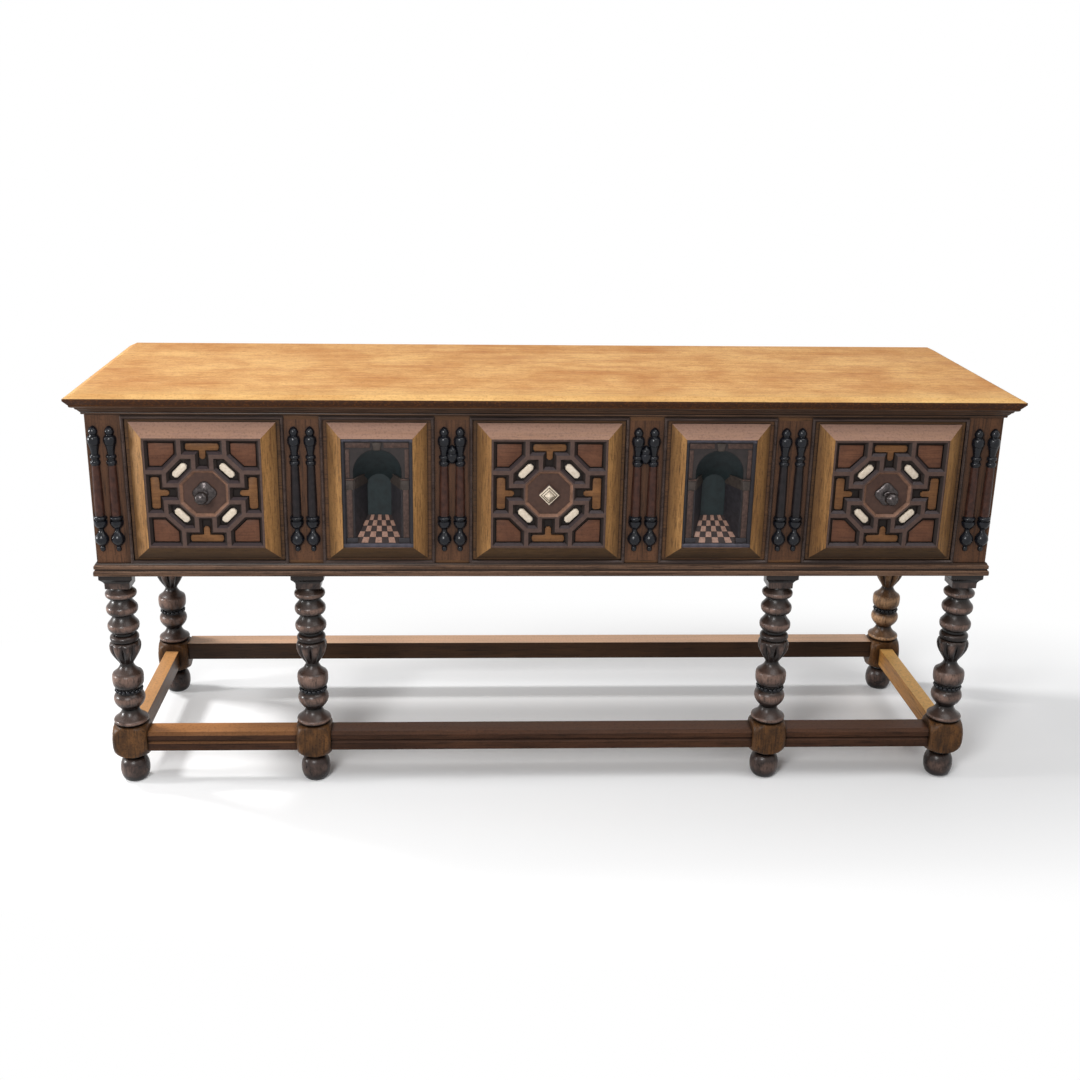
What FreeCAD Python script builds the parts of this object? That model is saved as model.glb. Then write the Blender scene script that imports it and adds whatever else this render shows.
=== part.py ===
import FreeCAD, Part
import os
import re

import Sketcher
from FreeCAD import Placement, Rotation, Vector

# A low oak dresser in a seventeenth-century manner: three deep drawers with geometric mitred fronts and two
# arched niches in a joined case, split balusters between them, and six turned legs tied by stretchers.
# Millimetres. +X is to the right, +Y to the back, +Z up, and the front faces -Y. The origin lies on the
# floor at the middle of the dresser's box, which runs from the tips of the pulls to the top's back edge.

SIZES = {
    # top board and its moulded edge
    "top_width": 1830,
    "top_depth": 530,
    "top_thickness": 22,
    "top_bevel_run": 16,
    "top_bevel_fall": 7,
    "top_nosing": 4,
    "top_under_run": 9,
    "end_overhang": 30,
    "front_overhang": 30,
    "back_overhang": 10,
    # case
    "base_rise": 26,
    "bay_height": 298,
    "niche_width": 220,
    "pilaster_width": 68,
    "corner_width": 67,
    "head_height": 23,
    "sill_depth": 64,
    "rail_thickness": 30,
    "rear_post_width": 60,
    "end_rail_height": 44,
    "end_rail_thickness": 26,
    "end_panel_thickness": 12,
    "end_panel_tongue": 8,
    "end_panel_bevel": 26,
    "back_rail_height": 42,
    "back_rail_thickness": 22,
    "back_board_thickness": 10,
    "back_board_count": 6,
    "back_board_gap": 1,
    "tenon_length": 18,
    "tenon_thickness": 10,
    "tenon_shoulder": 5,
    # planted mouldings
    "bead_width": 6,
    "bead_rise": 5,
    "bead_bevel": 2,
    "cornice_height": 20,
    "cornice_reach": 22,
    "cornice_foot": 4,
    "base_reach": 8,
    "base_groove": 3,
    # bevelled frames round the five panels
    "panel_margin_side": 14,
    "panel_margin_rise": 11.5,
    "frame_width": 27.5,
    "frame_proud": 22,
    "frame_edge": 3,
    # drawers
    "front_thickness": 20,
    "front_gap": 1.2,
    "field_rise": 12,
    "side_thickness": 12,
    "side_inset": 1,
    "side_gap": 1,
    "slide_gap": 0.3,
    "side_top_gap": 14,
    "drawer_back_thickness": 12,
    "drawer_back_drop": 10,
    "drawer_bottom_thickness": 8,
    "drawer_bottom_lift": 12,
    "bottom_groove": 5,
    "runner_width": 26,
    "runner_height": 20,
    "guide_thickness": 12,
    "guide_height": 30,
    "kicker_height": 26,
    "kicker_gap": 2,
    "stop_height": 24,
    "stop_depth": 18,
    # mitred lattice on each drawer front, bone inlays and pulls
    "lattice_field": 220,
    "lattice_rise": 9,
    "strip_offset": 43,
    "cell_reach": 74,
    "cell_inner": 17,
    "octagon_apothem": 45,
    "octagon_panel": 41,
    "strip_width": 18,
    "strip_bevel": 5,
    "border_width": 9,
    "octagon_sink": 6,
    "bone_length": 38,
    "bone_width": 14,
    "bone_rise": 5,
    "bone_bevel": 2,
    "plate_reach": 20,
    "plate_rise": 6,
    "plate_crown": 8,
    "knob_length": 46,
    "knob_neck": 4.5,
    "knob_radius": 9.5,
    "knob_ball_length": 17,
    "knob_bevel": 4.5,
    "bone_knob_reach": 19.5,
    "bone_knob_rise": 15,
    "bone_knob_tip": 5,
    "bone_knob_stem": 7,
    "bone_knob_stand": 9,
    # niches
    "niche_panel_thickness": 20,
    "niche_set_back": 8,
    "niche_depth": 52,
    "niche_back_thickness": 8,
    "niche_border": 7,
    "niche_border_rise": 4,
    "arch_half": 47,
    "arch_floor": 102,
    "arch_spring": 43,
    "arch_rise": 45,
    "vista_half": 24,
    "vista_floor": 61,
    "vista_spring": 1,
    "vista_rise": 23,
    "tile_rise": 0.8,
    "tile_joint": 0.6,
    # split balusters and acorn bosses
    "baluster_spacing": 31,
    "baluster_lift": 25,
    "corner_baluster_shift": 4,
    "finial_height": 16,
    "bulb_height": 39,
    "reel_height": 21,
    "shaft_height": 104,
    "bell_height": 27,
    "pear_height": 36,
    "drop_height": 10,
    "baluster_bulb": 12.5,
    "baluster_reel": 10,
    "baluster_shaft": 9.5,
    "baluster_shaft_top": 8,
    "baluster_neck": 5,
    "baluster_bevel": 3,
    "acorn_height": 30,
    "acorn_radius": 11,
    "acorn_drop": 36,
    # legs, from the floor up
    "leg_inset": 32,
    "foot_height": 62,
    "foot_flat": 19,
    "foot_radius": 30,
    "foot_round": 14,
    "foot_neck": 24,
    "ankle_radius": 17,
    "block_height": 69,
    "block_width": 70,
    "block_shoulder": 18,
    "disc_height": 31,
    "disc_seat": 29,
    "disc_radius": 35,
    "disc_edge_lift": 8,
    "waist_radius": 18,
    "lower_ball_height": 38,
    "lower_ball_radius": 31.5,
    "lower_ball_round": 12,
    "pearl_ring_height": 12,
    "pearl_ring_radius": 26,
    "upper_ball_height": 50,
    "upper_ball_radius": 31.5,
    "upper_ball_round": 14,
    "upper_ball_neck": 18,
    "cup_neck_radius": 13.5,
    "cup_height": 71,
    "cup_radius": 31.5,
    "cup_lip": 24,
    "ring_neck": 21,
    "lower_ring_height": 38,
    "lower_ring_radius": 31.5,
    "middle_ring_height": 36,
    "middle_ring_radius": 31.3,
    "upper_ring_height": 26,
    "upper_ring_radius": 31,
    "capital_height": 33,
    "capital_slab": 10,
    "capital_width": 66,
    "capital_foot": 50,
    "leg_tenon_width": 18,
    "leg_tenon_height": 26,
    # stretchers
    "stretcher_height": 40,
    "stretcher_depth": 46,
    "end_stretcher_width": 30,
    "stretcher_lift": 94,
    "back_stretcher_lift": 108,
    "stretcher_bevel": 6,
    "stretcher_groove": 4,
}

# Sizes that follow from the others: the case keeps its distance from the top's edges, the three drawers share
# what the niches and pilasters leave of the front, each drawer reaches back to its stops, and the lattice,
# drawn for a field of one size, is drawn larger or smaller to suit the shorter side of its own field.
FOLLOWING = {
    "case_width": "=top_width - 2 * end_overhang",
    "case_depth": "=top_depth - front_overhang - back_overhang",
    "bay_width": "=(case_width - 2 * niche_width - 4 * pilaster_width - 2 * corner_width) / 3",
    "drawer_depth": "=case_depth - back_board_thickness - back_rail_thickness - stop_depth",
    "field_width": "=bay_width - 2 * panel_margin_side - 2 * frame_width",
    "field_height": "=bay_height - 2 * panel_margin_rise - 2 * frame_width",
    "lattice_fit": "=min(field_width; field_height) / lattice_field",
}
NAMED_SIZES = {**SIZES, **FOLLOWING}

NICHE_TILE_COLUMNS = 7
NICHE_TILE_ROWS = 5

doc = FreeCAD.newDocument("LowDresser")
sheet = doc.addObject("Spreadsheet::Sheet", "Sizes")
for row, (alias, size) in enumerate(NAMED_SIZES.items(), start=1):
    sheet.set(f"A{row}", alias)
    sheet.set(f"B{row}", str(size))
    sheet.setAlias(f"B{row}", alias)
doc.recompute()

nodes = []


def bound(expression):
    """The expression with each named size pointing at its cell in the sheet."""
    return re.sub(r"[a-z_]+", lambda word: ("Sizes." if word[0] in NAMED_SIZES else "") + word[0], expression)


def bind(item, target, expression):
    item.setExpression(target, bound(expression))


def value(expression):
    return float(sheet.evalExpression(bound(expression)))


# Heights of the leg's turned parts add up to the leg, so each can be changed by itself.
LEG_PARTS = (
    "foot_height", "block_height", "disc_height", "lower_ball_height", "pearl_ring_height",
    "upper_ball_height", "cup_height", "lower_ring_height", "middle_ring_height", "upper_ring_height",
    "capital_height",
)
LEG_HEIGHT = "(" + " + ".join(LEG_PARTS) + ")"

# Heights of the case.
BAY_LOW = f"({LEG_HEIGHT} + base_rise)"
BAY_HIGH = f"({BAY_LOW} + bay_height)"
CASE_TOP = f"({BAY_HIGH} + head_height)"
TOP_SURFACE = f"({CASE_TOP} + top_thickness)"
OPEN_LOW = f"({BAY_LOW} + bead_width)"
OPEN_HIGH = f"({BAY_HIGH} - bead_width)"
PANEL_Z = f"({BAY_LOW} + bay_height / 2)"

# Depths: the case front is placed so that the pull tips and the top's back edge lie equally far from Y = 0.
OCTAGON_LEVEL = "(field_rise + lattice_rise - octagon_sink)"
FRONT = f"(({OCTAGON_LEVEL} + knob_length + front_overhang - top_depth) / 2)"
BACK = f"({FRONT} + case_depth)"
TOP_FRONT = f"({FRONT} - front_overhang)"
TOP_BACK = f"({TOP_FRONT} + top_depth)"
RAIL_BACK = f"({FRONT} + rail_thickness)"
SILL_BACK = f"({FRONT} + sill_depth)"
BACK_RAIL_FACE = f"({BACK} - back_board_thickness - back_rail_thickness)"

# Places along the front, from the middle outwards.
CASE_SIDE = "(case_width / 2)"
INNER_MUNTIN = "(bay_width / 2 + pilaster_width / 2)"
NICHE_X = "(bay_width / 2 + pilaster_width + niche_width / 2)"
OUTER_MUNTIN = "(bay_width / 2 + niche_width + 3 * pilaster_width / 2)"
OUTER_BAY = "(bay_width + niche_width + 2 * pilaster_width)"
CORNER_EDGE = f"({CASE_SIDE} - corner_width)"
CORNER_X = f"(({CORNER_EDGE} + {CASE_SIDE}) / 2)"
POST_EDGE = f"({CORNER_EDGE} - bead_width)"
REAR_POST_EDGE = f"({CASE_SIDE} - rear_post_width)"
LEG_X = f"({CASE_SIDE} - leg_inset)"
LEG_FRONT_Y = f"({FRONT} + leg_inset)"
LEG_BACK_Y = f"({BACK} - leg_inset)"

SIDES = {"left": -1, "right": 1}
BAYS = {"left": f"(-{OUTER_BAY})", "centre": "0", "right": OUTER_BAY}


def node(label, *pieces):
    """Name one sub-part; several like pieces become a group of separate solids."""
    item = pieces[0]
    if len(pieces) > 1:
        item = doc.addObject("Part::Compound", "Group")
        item.Links = list(pieces)
    item.Label = label
    nodes.append(item)
    return item


def box(x, y, z):
    """A squared piece between a low and a high expression on each axis."""
    piece = doc.addObject("Part::Box", "Squared")
    for edge, axis, (low, high) in zip(("Length", "Width", "Height"), "xyz", (x, y, z)):
        bind(piece, edge, f"({high}) - ({low})")
        bind(piece, f"Placement.Base.{axis}", low)
    return piece


def joined(*pieces):
    item = doc.addObject("Part::MultiFuse", "Joined")
    item.Shapes = list(pieces)
    return item


def cut(piece, *tools):
    tool = tools[0]
    if len(tools) > 1:
        tool = doc.addObject("Part::Compound", "Tools")
        tool.Links = list(tools)
    item = doc.addObject("Part::Cut", "Worked")
    item.Base = piece
    item.Tool = tool
    return item


def tenons(x, y, z, along, thin):
    """The two tenons of a rail: thin across one axis, shouldered on the other, past both ends."""
    spans = {"x": x, "y": y, "z": z}
    low, high = spans[along]
    for axis in "xyz".replace(along, ""):
        start, stop = spans[axis]
        if axis == thin:
            middle = f"(({start}) + ({stop})) / 2"
            spans[axis] = (f"{middle} - tenon_thickness / 2", f"{middle} + tenon_thickness / 2")
        else:
            spans[axis] = (f"{start} + tenon_shoulder", f"{stop} - tenon_shoulder")
    pair = []
    for start, stop in ((f"{low} - tenon_length", low), (high, f"{high} + tenon_length")):
        spans[along] = (start, stop)
        pair.append(box(spans["x"], spans["y"], spans["z"]))
    return pair


def rail(x, y, z, along, thin):
    """A squared rail with its two tenons, and the tenons for cutting their mortises."""
    pair = tenons(x, y, z, along, thin)
    return joined(box(x, y, z), *pair), pair


def new_body(x="0", y="0", z="0", rotation=Rotation()):
    body = doc.addObject("PartDesign::Body", "Body")
    body.Placement = Placement(Vector(), rotation)
    for axis, place in zip("xyz", (x, y, z)):
        bind(body, f"Placement.Base.{axis}", place)
    return body


def add_outline(drawing, corners):
    """A closed outline, anticlockwise. A corner is (x, y), or (x, y, swell) where an arc that bulges
    outwards by the swell runs to the next corner."""
    count = len(corners)
    points = [Vector(value(corner[0]), value(corner[1]), 0) for corner in corners]
    first = drawing.GeometryCount
    rounds = []
    for index, corner in enumerate(corners):
        start, stop = points[index], points[(index + 1) % count]
        if len(corner) == 2:
            drawing.addGeometry(Part.LineSegment(start, stop))
            continue
        chord = stop - start
        outward = Vector(chord.y, -chord.x, 0).normalize()
        middle = (start + stop) / 2 + outward * value(corner[2])
        drawing.addGeometry(Part.Arc(start, middle, stop))
        after = corners[(index + 1) % count]
        square = f"(({after[0]}) - ({corner[0]}))^2 + (({after[1]}) - ({corner[1]}))^2"
        rounds.append((first + index, f"(({square}) / 4 + ({corner[2]})^2) / (2 * ({corner[2]}))"))
    held = []
    for index in range(count):
        follower = first + (index + 1) % count
        held.append(Sketcher.Constraint("Coincident", first + index, 2, follower, 1))
    drawing.addConstraint(held)
    for index, corner in enumerate(corners):
        for kind, place in zip(("DistanceX", "DistanceY"), corner[:2]):
            rule = drawing.addConstraint(Sketcher.Constraint(kind, -1, 1, first + index, 1, value(place)))
            bind(drawing, f"Constraints[{rule}]", place)
    for curve, radius in rounds:
        rule = drawing.addConstraint(Sketcher.Constraint("Radius", curve, value(radius)))
        bind(drawing, f"Constraints[{rule}]", radius)


def own_plane(body, role):
    return next(item for item in body.Origin.OriginFeatures if item.Role == role)


def sketch(body, plane, outlines, lift="0"):
    """Closed outlines on one of the body's own planes, lifted along its normal."""
    drawing = body.newObject("Sketcher::SketchObject", "Outline")
    drawing.AttachmentSupport = [(own_plane(body, plane), "")]
    drawing.MapMode = "FlatFace"
    bind(drawing, "AttachmentOffset.Base.z", lift)
    for corners in outlines:
        add_outline(drawing, corners)
    return drawing


def pad(body, drawing, length, reverse=False, taper=None):
    feature = body.newObject("PartDesign::Pad", "Pad")
    feature.Profile = drawing
    feature.Reversed = reverse
    bind(feature, "Length", length)
    if taper:
        bind(feature, "TaperAngle", taper)
    return feature


def pocket(body, drawing, depth=None):
    """A cut of a given depth, or right through on both sides of its plane."""
    feature = body.newObject("PartDesign::Pocket", "Pocket")
    feature.Profile = drawing
    if depth:
        bind(feature, "Length", depth)
    else:
        feature.Type = "ThroughAll"
        feature.SideType = "Symmetric"
    return feature


def turned(body, drawing):
    """A full turn of an outline about its own upright axis."""
    feature = body.newObject("PartDesign::Revolution", "Turned")
    feature.Profile = drawing
    feature.ReferenceAxis = (drawing, ["V_Axis"])
    return feature


def frustum(body, start, stop, start_half, stop_half, upright=False):
    """A four-sided pyramid cut short, along the body's Y axis, or along Z if upright."""
    feature = body.newObject("PartDesign::AdditiveWedge", "Frustum")
    if upright:
        feature.AttachmentSupport = [(own_plane(body, "XY_Plane"), "")]
        feature.MapMode = "FlatFace"
        feature.AttachmentOffset = Placement(Vector(), Rotation(Vector(1, 0, 0), 90))
    bind(feature, "Ymin", start)
    bind(feature, "Ymax", stop)
    for target, half in (("X", start_half), ("Z", start_half), ("X2", stop_half), ("Z2", stop_half)):
        bind(feature, f"{target}min", f"-({half})")
        bind(feature, f"{target}max", half)
    return feature


def rectangle(left, right, low, high):
    return [(left, low), (right, low), (right, high), (left, high)]


def moulding(section, width, left, right, mitres, rotation, x, y, z):
    """A moulding along its own X, its section drawn outwards and up from the face that it is planted on.
    left and right are its lengths at that face, and an end in mitres is cut at 45 degrees."""
    body = new_body(x, y, z, rotation)
    start = f"({left} + {width})" if "left" in mitres else f"({left})"
    stop = f"({right} + {width})" if "right" in mitres else f"({right})"
    pad(body, sketch(body, "YZ_Plane", [section], f"-{start}"), f"{start} + {stop}")
    wedges = {
        "left": [(f"-{left}", "0"), (f"-{start}", width), (f"-{start}", "0")],
        "right": [(right, "0"), (stop, "0"), (stop, width)],
    }
    pocket(body, sketch(body, "XY_Plane", [wedges[end] for end in mitres]))
    return body


def mitred_frame(section, width, half_x, half_z, x, y, z):
    """Four mouldings mitred round an opening of the given half sizes, on a face that looks forward."""
    members = []
    for turn, half, over, up in (
        (0, half_x, "0", half_z), (90, half_z, half_x, "0"),
        (180, half_x, "0", f"-{half_z}"), (270, half_z, f"-{half_x}", "0"),
    ):
        facing = Rotation(Vector(0, 1, 0), turn) * Rotation(Vector(1, 0, 0), 90)
        members.append(moulding(
            section, width, half, half, ("left", "right"), facing, f"{x} + {over}", y, f"{z} + {up}"))
    return members


def make_top():
    """The top board: its front and ends bevelled above and undercut below, its back edge square."""
    body = new_body()
    half = "top_width / 2"
    bevel_low = f"{TOP_SURFACE} - top_bevel_fall"
    nosing_low = f"{bevel_low} - top_nosing"
    section = [
        (f"{TOP_FRONT} + top_bevel_run", TOP_SURFACE), (TOP_FRONT, bevel_low), (TOP_FRONT, nosing_low),
        (f"{TOP_FRONT} + top_under_run", CASE_TOP), (TOP_BACK, CASE_TOP), (TOP_BACK, TOP_SURFACE),
    ]
    pad(body, sketch(body, "YZ_Plane", [section], f"-{half}"), "top_width")
    waste = []
    for side in (1, -1):
        end = f"{side} * {half}"
        above = [(f"{end} - {side} * top_bevel_run", TOP_SURFACE), (end, bevel_low), (end, TOP_SURFACE)]
        below = [(f"{end} - {side} * top_under_run", CASE_TOP), (end, CASE_TOP), (end, nosing_low)]
        waste += [above[::side], below[::side]]
    pocket(body, sketch(body, "XZ_Plane", waste))
    node("top", body)


def make_case():
    """The joined case: posts, rails and muntins, panelled ends and a boarded back."""
    between_posts = (f"-{POST_EDGE}", POST_EDGE)
    mortises = {name: [] for name in ("front_left", "front_right", "rear_left", "rear_right")}

    sill_z = (LEG_HEIGHT, OPEN_LOW)
    sill, sill_tenons = rail(between_posts, (FRONT, SILL_BACK), sill_z, "x", "y")
    head_z = (OPEN_HIGH, CASE_TOP)
    head, head_tenons = rail(between_posts, (FRONT, RAIL_BACK), head_z, "x", "y")
    muntins = []
    muntin_mortises = []
    for place in (INNER_MUNTIN, OUTER_MUNTIN):
        for side in SIDES.values():
            middle = f"{side} * {place}"
            half = "pilaster_width / 2 + bead_width"
            width = (f"{middle} - ({half})", f"{middle} + {half}")
            muntin, pair = rail(width, (FRONT, RAIL_BACK), (OPEN_LOW, OPEN_HIGH), "z", "y")
            muntins.append(muntin)
            muntin_mortises += pair
    sockets = [leg_tenon(f"{side} * {OUTER_MUNTIN}", LEG_FRONT_Y) for side in SIDES.values()]
    node("front_bottom_rail", cut(sill, *muntin_mortises[0::2], *sockets))
    node("front_top_rail", cut(head, *muntin_mortises[1::2]))
    node("front_muntins", *muntins)
    for pair in (sill_tenons, head_tenons):
        mortises["front_left"].append(pair[0])
        mortises["front_right"].append(pair[1])

    end_rails = []
    end_panels = []
    back_post = f"({BACK} - rear_post_width)"
    levels = ((LEG_HEIGHT, f"{LEG_HEIGHT} + end_rail_height"), (f"{CASE_TOP} - end_rail_height", CASE_TOP))
    for name, side in SIDES.items():
        faces = [f"{side} * {CASE_SIDE}", f"{side} * ({CASE_SIDE} - end_rail_thickness)"][::-side]
        groove_face = f"{CASE_SIDE} - end_rail_thickness / 2"
        groove = [f"{side} * ({groove_face} + end_panel_thickness / 4)",
                  f"{side} * ({groove_face} - end_panel_thickness / 4)"][::-side]
        panel = end_panel(side, groove_face, levels, back_post)
        end_panels.append(panel)
        slot = box(
            groove, (f"{SILL_BACK} - end_panel_tongue", f"{back_post} + end_panel_tongue"),
            (f"{levels[0][1]} - end_panel_tongue", f"{levels[1][0]} + end_panel_tongue"))
        for level in levels:
            bar, pair = rail(faces, (SILL_BACK, back_post), level, "y", "x")
            end_rails.append(cut(bar, slot))
            mortises[f"front_{name}"].append(pair[0])
            mortises[f"rear_{name}"].append(pair[1])
        mortises[f"front_{name}"].append(slot)
        mortises[f"rear_{name}"].append(slot)
    node("end_rails", *end_rails)
    node("end_panels", *end_panels)

    back_rails = []
    between_rear = (f"-{REAR_POST_EDGE}", REAR_POST_EDGE)
    back_y = (BACK_RAIL_FACE, f"{BACK} - back_board_thickness")
    low_level = (LEG_HEIGHT, f"{LEG_HEIGHT} + back_rail_height")
    high_level = (f"{CASE_TOP} - back_rail_height", CASE_TOP)
    for level in (low_level, high_level):
        bar, pair = rail(between_rear, back_y, level, "x", "y")
        back_rails.append(bar)
        mortises["rear_left"].append(pair[0])
        mortises["rear_right"].append(pair[1])
    node("back_rails", *back_rails)

    boards = []
    count = int(value("back_board_count"))
    pitch = f"(2 * {REAR_POST_EDGE} / {count})"
    for index in range(count):
        low = f"-{REAR_POST_EDGE} + {index} * {pitch}"
        span = (f"{low} + back_board_gap / 2", f"{low} + {pitch} - back_board_gap / 2")
        boards.append(box(span, (f"{BACK} - back_board_thickness", BACK), (LEG_HEIGHT, CASE_TOP)))
    node("back_boards", *boards)

    for name, side in SIDES.items():
        front_x = [f"{side} * {CASE_SIDE}", f"{side} * {POST_EDGE}"][::-side]
        rear_x = [f"{side} * {CASE_SIDE}", f"{side} * {REAR_POST_EDGE}"][::-side]
        tall = (LEG_HEIGHT, CASE_TOP)
        front_post = box(front_x, (FRONT, SILL_BACK), tall)
        rear_post = box(rear_x, (back_post, BACK), tall)
        front_socket = leg_tenon(f"{side} * {LEG_X}", LEG_FRONT_Y)
        rear_socket = leg_tenon(f"{side} * {LEG_X}", LEG_BACK_Y)
        node(f"front_post_{name}", cut(front_post, *mortises[f"front_{name}"], front_socket))
        node(f"rear_post_{name}", cut(rear_post, *mortises[f"rear_{name}"], rear_socket))


def end_panel(side, middle, levels, back_post):
    """A fielded end panel: a raised field falling to thin tongues that sit in the grooves round it."""
    facing = Rotation(Vector(0, 0, 1), 90 * side) * Rotation(Vector(1, 0, 0), 90)
    half_y = f"(({back_post}) - ({SILL_BACK})) / 2"
    half_z = f"(({levels[1][0]}) - ({levels[0][1]})) / 2"
    centre_y = f"({SILL_BACK} + {back_post}) / 2"
    centre_z = f"({levels[0][1]} + {levels[1][0]}) / 2"
    body = new_body(f"{side} * ({middle})", centre_y, centre_z, facing)
    tongue_y = f"{half_y} + end_panel_tongue"
    tongue_z = f"{half_z} + end_panel_tongue"
    thin = "end_panel_thickness / 2"
    blank = rectangle(f"-({tongue_y})", tongue_y, f"-({tongue_z})", tongue_z)
    pad(body, sketch(body, "XY_Plane", [blank], "-end_panel_thickness / 4"), thin)
    field = rectangle(f"-({half_y})", half_y, f"-({half_z})", half_z)
    pad(body, sketch(body, "XY_Plane", [field], "end_panel_thickness / 4"), thin,
        taper="-atan(2 * end_panel_bevel / end_panel_thickness)")
    return body


def leg_tenon(x, y):
    """The square tenon on a leg's capital, which also cuts its socket in the case."""
    half = "leg_tenon_width / 2"
    return box((f"{x} - {half}", f"{x} + {half}"), (f"{y} - {half}", f"{y} + {half}"),
               (LEG_HEIGHT, f"{LEG_HEIGHT} + leg_tenon_height"))


def make_case_mouldings():
    """The cornice under the top and the moulding at the case's foot, mitred at the front corners."""
    low = f"{CASE_TOP} - cornice_height"
    cornice = [
        ("0", "0"), ("cornice_foot", "0"), ("cornice_foot", "cornice_height / 4"),
        ("cornice_reach * 0.7", "cornice_height * 0.7"), ("cornice_reach", "cornice_height * 0.8"),
        ("cornice_reach", "cornice_height"), ("0", "cornice_height"),
    ]
    groove = "base_reach - base_groove"
    step = "base_reach - base_groove / 2"
    base = [
        ("0", "0"), ("base_reach", "0"), ("base_reach", "base_rise * 0.4"), (groove, "base_rise * 0.46"),
        (groove, "base_rise * 0.54"), (step, "base_rise * 0.6"), (step, "base_rise * 0.85"),
        ("base_groove", "base_rise"), ("0", "base_rise"),
    ]
    along = CASE_SIDE
    deep = "(case_depth / 2)"
    middle = f"({FRONT} + {BACK}) / 2"
    front_turn, left_turn, right_turn = (Rotation(Vector(0, 0, 1), angle) for angle in (180, 90, -90))
    for label, section, width, z in (
        ("cornice_moulding", cornice, "cornice_reach", low),
        ("base_moulding", base, "base_reach", LEG_HEIGHT),
    ):
        node(
            label,
            moulding(section, width, along, along, ("left", "right"), front_turn, "0", FRONT, z),
            moulding(section, width, deep, deep, ("left",), left_turn, f"-{CASE_SIDE}", middle, z),
            moulding(section, width, deep, deep, ("right",), right_turn, CASE_SIDE, middle, z),
        )


def make_opening_beads():
    """A thin bead mitred round each of the five openings, on the edges of the posts, muntins and rails."""
    section = [
        ("0", "0"), ("bead_width", "0"), ("bead_width", "bead_rise - bead_bevel"),
        ("bead_width - bead_bevel", "bead_rise"), ("bead_bevel", "bead_rise"),
        ("0", "bead_rise - bead_bevel"),
    ]
    half_z = "(bay_height / 2 - bead_width)"
    strips = []
    for x, width in [(place, "bay_width") for place in BAYS.values()] + [
            (f"{side} * {NICHE_X}", "niche_width") for side in SIDES.values()]:
        half_x = f"({width} / 2 - bead_width)"
        strips += mitred_frame(section, "bead_width", half_x, half_z, x, FRONT, PANEL_Z)
    node("opening_beads", *strips)


def panel_frame(width, x):
    """The four bevelled lengths of a panel's frame, proud at their inner edge."""
    half_x = f"({width} / 2 - panel_margin_side - frame_width)"
    half_z = "(bay_height / 2 - panel_margin_rise - frame_width)"
    section = [("0", "0"), ("frame_width", "0"), ("frame_width", "frame_edge"), ("0", "frame_proud")]
    return mitred_frame(section, "frame_width", half_x, half_z, x, FRONT, PANEL_Z)


FIELD_HALF_X = "(field_width / 2)"
FIELD_HALF_Z = "(field_height / 2)"
BONE_CENTRE = "(((strip_offset + cell_reach) / sqrt(2) + octagon_apothem) / 2 * lattice_fit)"


def fitted(size):
    """A size of the lattice's drawing as it comes out on a drawer's own field."""
    return f"({size} * lattice_fit)"


def lattice_cells(inset, border):
    """Outlines of the cells between the lattice strips, set in from the strips' centre lines: four corner
    cells, four T cells and four six-sided cells round a central octagon."""
    line, reach, core = fitted("strip_offset"), fitted("cell_reach"), fitted("cell_inner")
    apothem = fitted("octagon_apothem")
    corner_cut = f"{reach} + {inset} * (sqrt(2) - 1)"
    cell_cut = f"{line} - {inset} * (sqrt(2) - 1)"
    inner = f"{core} + {inset}"
    outer = f"{reach} - {inset}"
    slant = f"({apothem} + {inset}) * sqrt(2) - ({inner})"
    stem = f"{core} - {inset}"
    bar = f"{line} - {inset}"
    edge = f"{line} + {inset}"
    far_x = f"{FIELD_HALF_X} - {border}"
    far_z = f"{FIELD_HALF_Z} - {border}"
    corner = [(far_x, far_z), (edge, far_z), (edge, corner_cut), (corner_cut, edge), (far_x, edge)]
    hexagon = [
        (inner, outer), (inner, slant), (slant, inner), (outer, inner), (outer, cell_cut),
        (cell_cut, outer),
    ]
    cells = []
    for x_side, z_side in ((1, 1), (-1, 1), (-1, -1), (1, -1)):
        for cell in (corner, hexagon):
            placed = [(f"{x_side} * ({x})", f"{z_side} * ({z})") for x, z in cell]
            cells.append(placed[::x_side * z_side])
    for turn in range(4):
        far = far_x if turn % 2 else far_z
        tee = [
            (f"-({stem})", f"{apothem} + {inset}"), (stem, f"{apothem} + {inset}"),
            (stem, f"{reach} + {inset}"), (bar, f"{reach} + {inset}"), (bar, far),
            (f"-({bar})", far), (f"-({bar})", f"{reach} + {inset}"), (f"-({stem})", f"{reach} + {inset}"),
        ]
        for _ in range(turn):
            tee = [(f"-({z})", x) for x, z in tee]
        cells.append(tee)
    return cells


def octagon(apothem):
    """A regular octagon standing on a side."""
    flat = f"({apothem}) * tan(22.5)"
    return [
        (flat, f"-({apothem})"), (apothem, f"-{flat}"), (apothem, flat), (flat, apothem),
        (f"-{flat}", apothem), (f"-({apothem})", flat), (f"-({apothem})", f"-{flat}"),
        (f"-{flat}", f"-({apothem})"),
    ]


def face_towards_front(feature):
    """The face of a finished feature that lies furthest forward."""
    doc.recompute()
    faces = [face for face in feature.Shape.Faces if face.normalAt(0, 0).y < -0.99]
    return min(faces, key=lambda face: face.CenterOfMass.y)


def bevel(body, feature, edges, size):
    """An even bevel along some edges of a finished feature."""
    names = []
    for number, edge in enumerate(feature.Shape.Edges, start=1):
        if any(edge.isSame(wanted) for wanted in edges):
            names.append(f"Edge{number}")
    chamfer = body.newObject("PartDesign::Chamfer", "Bevel")
    chamfer.Base = (feature, names)
    bind(chamfer, "Size", size)
    return chamfer


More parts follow.
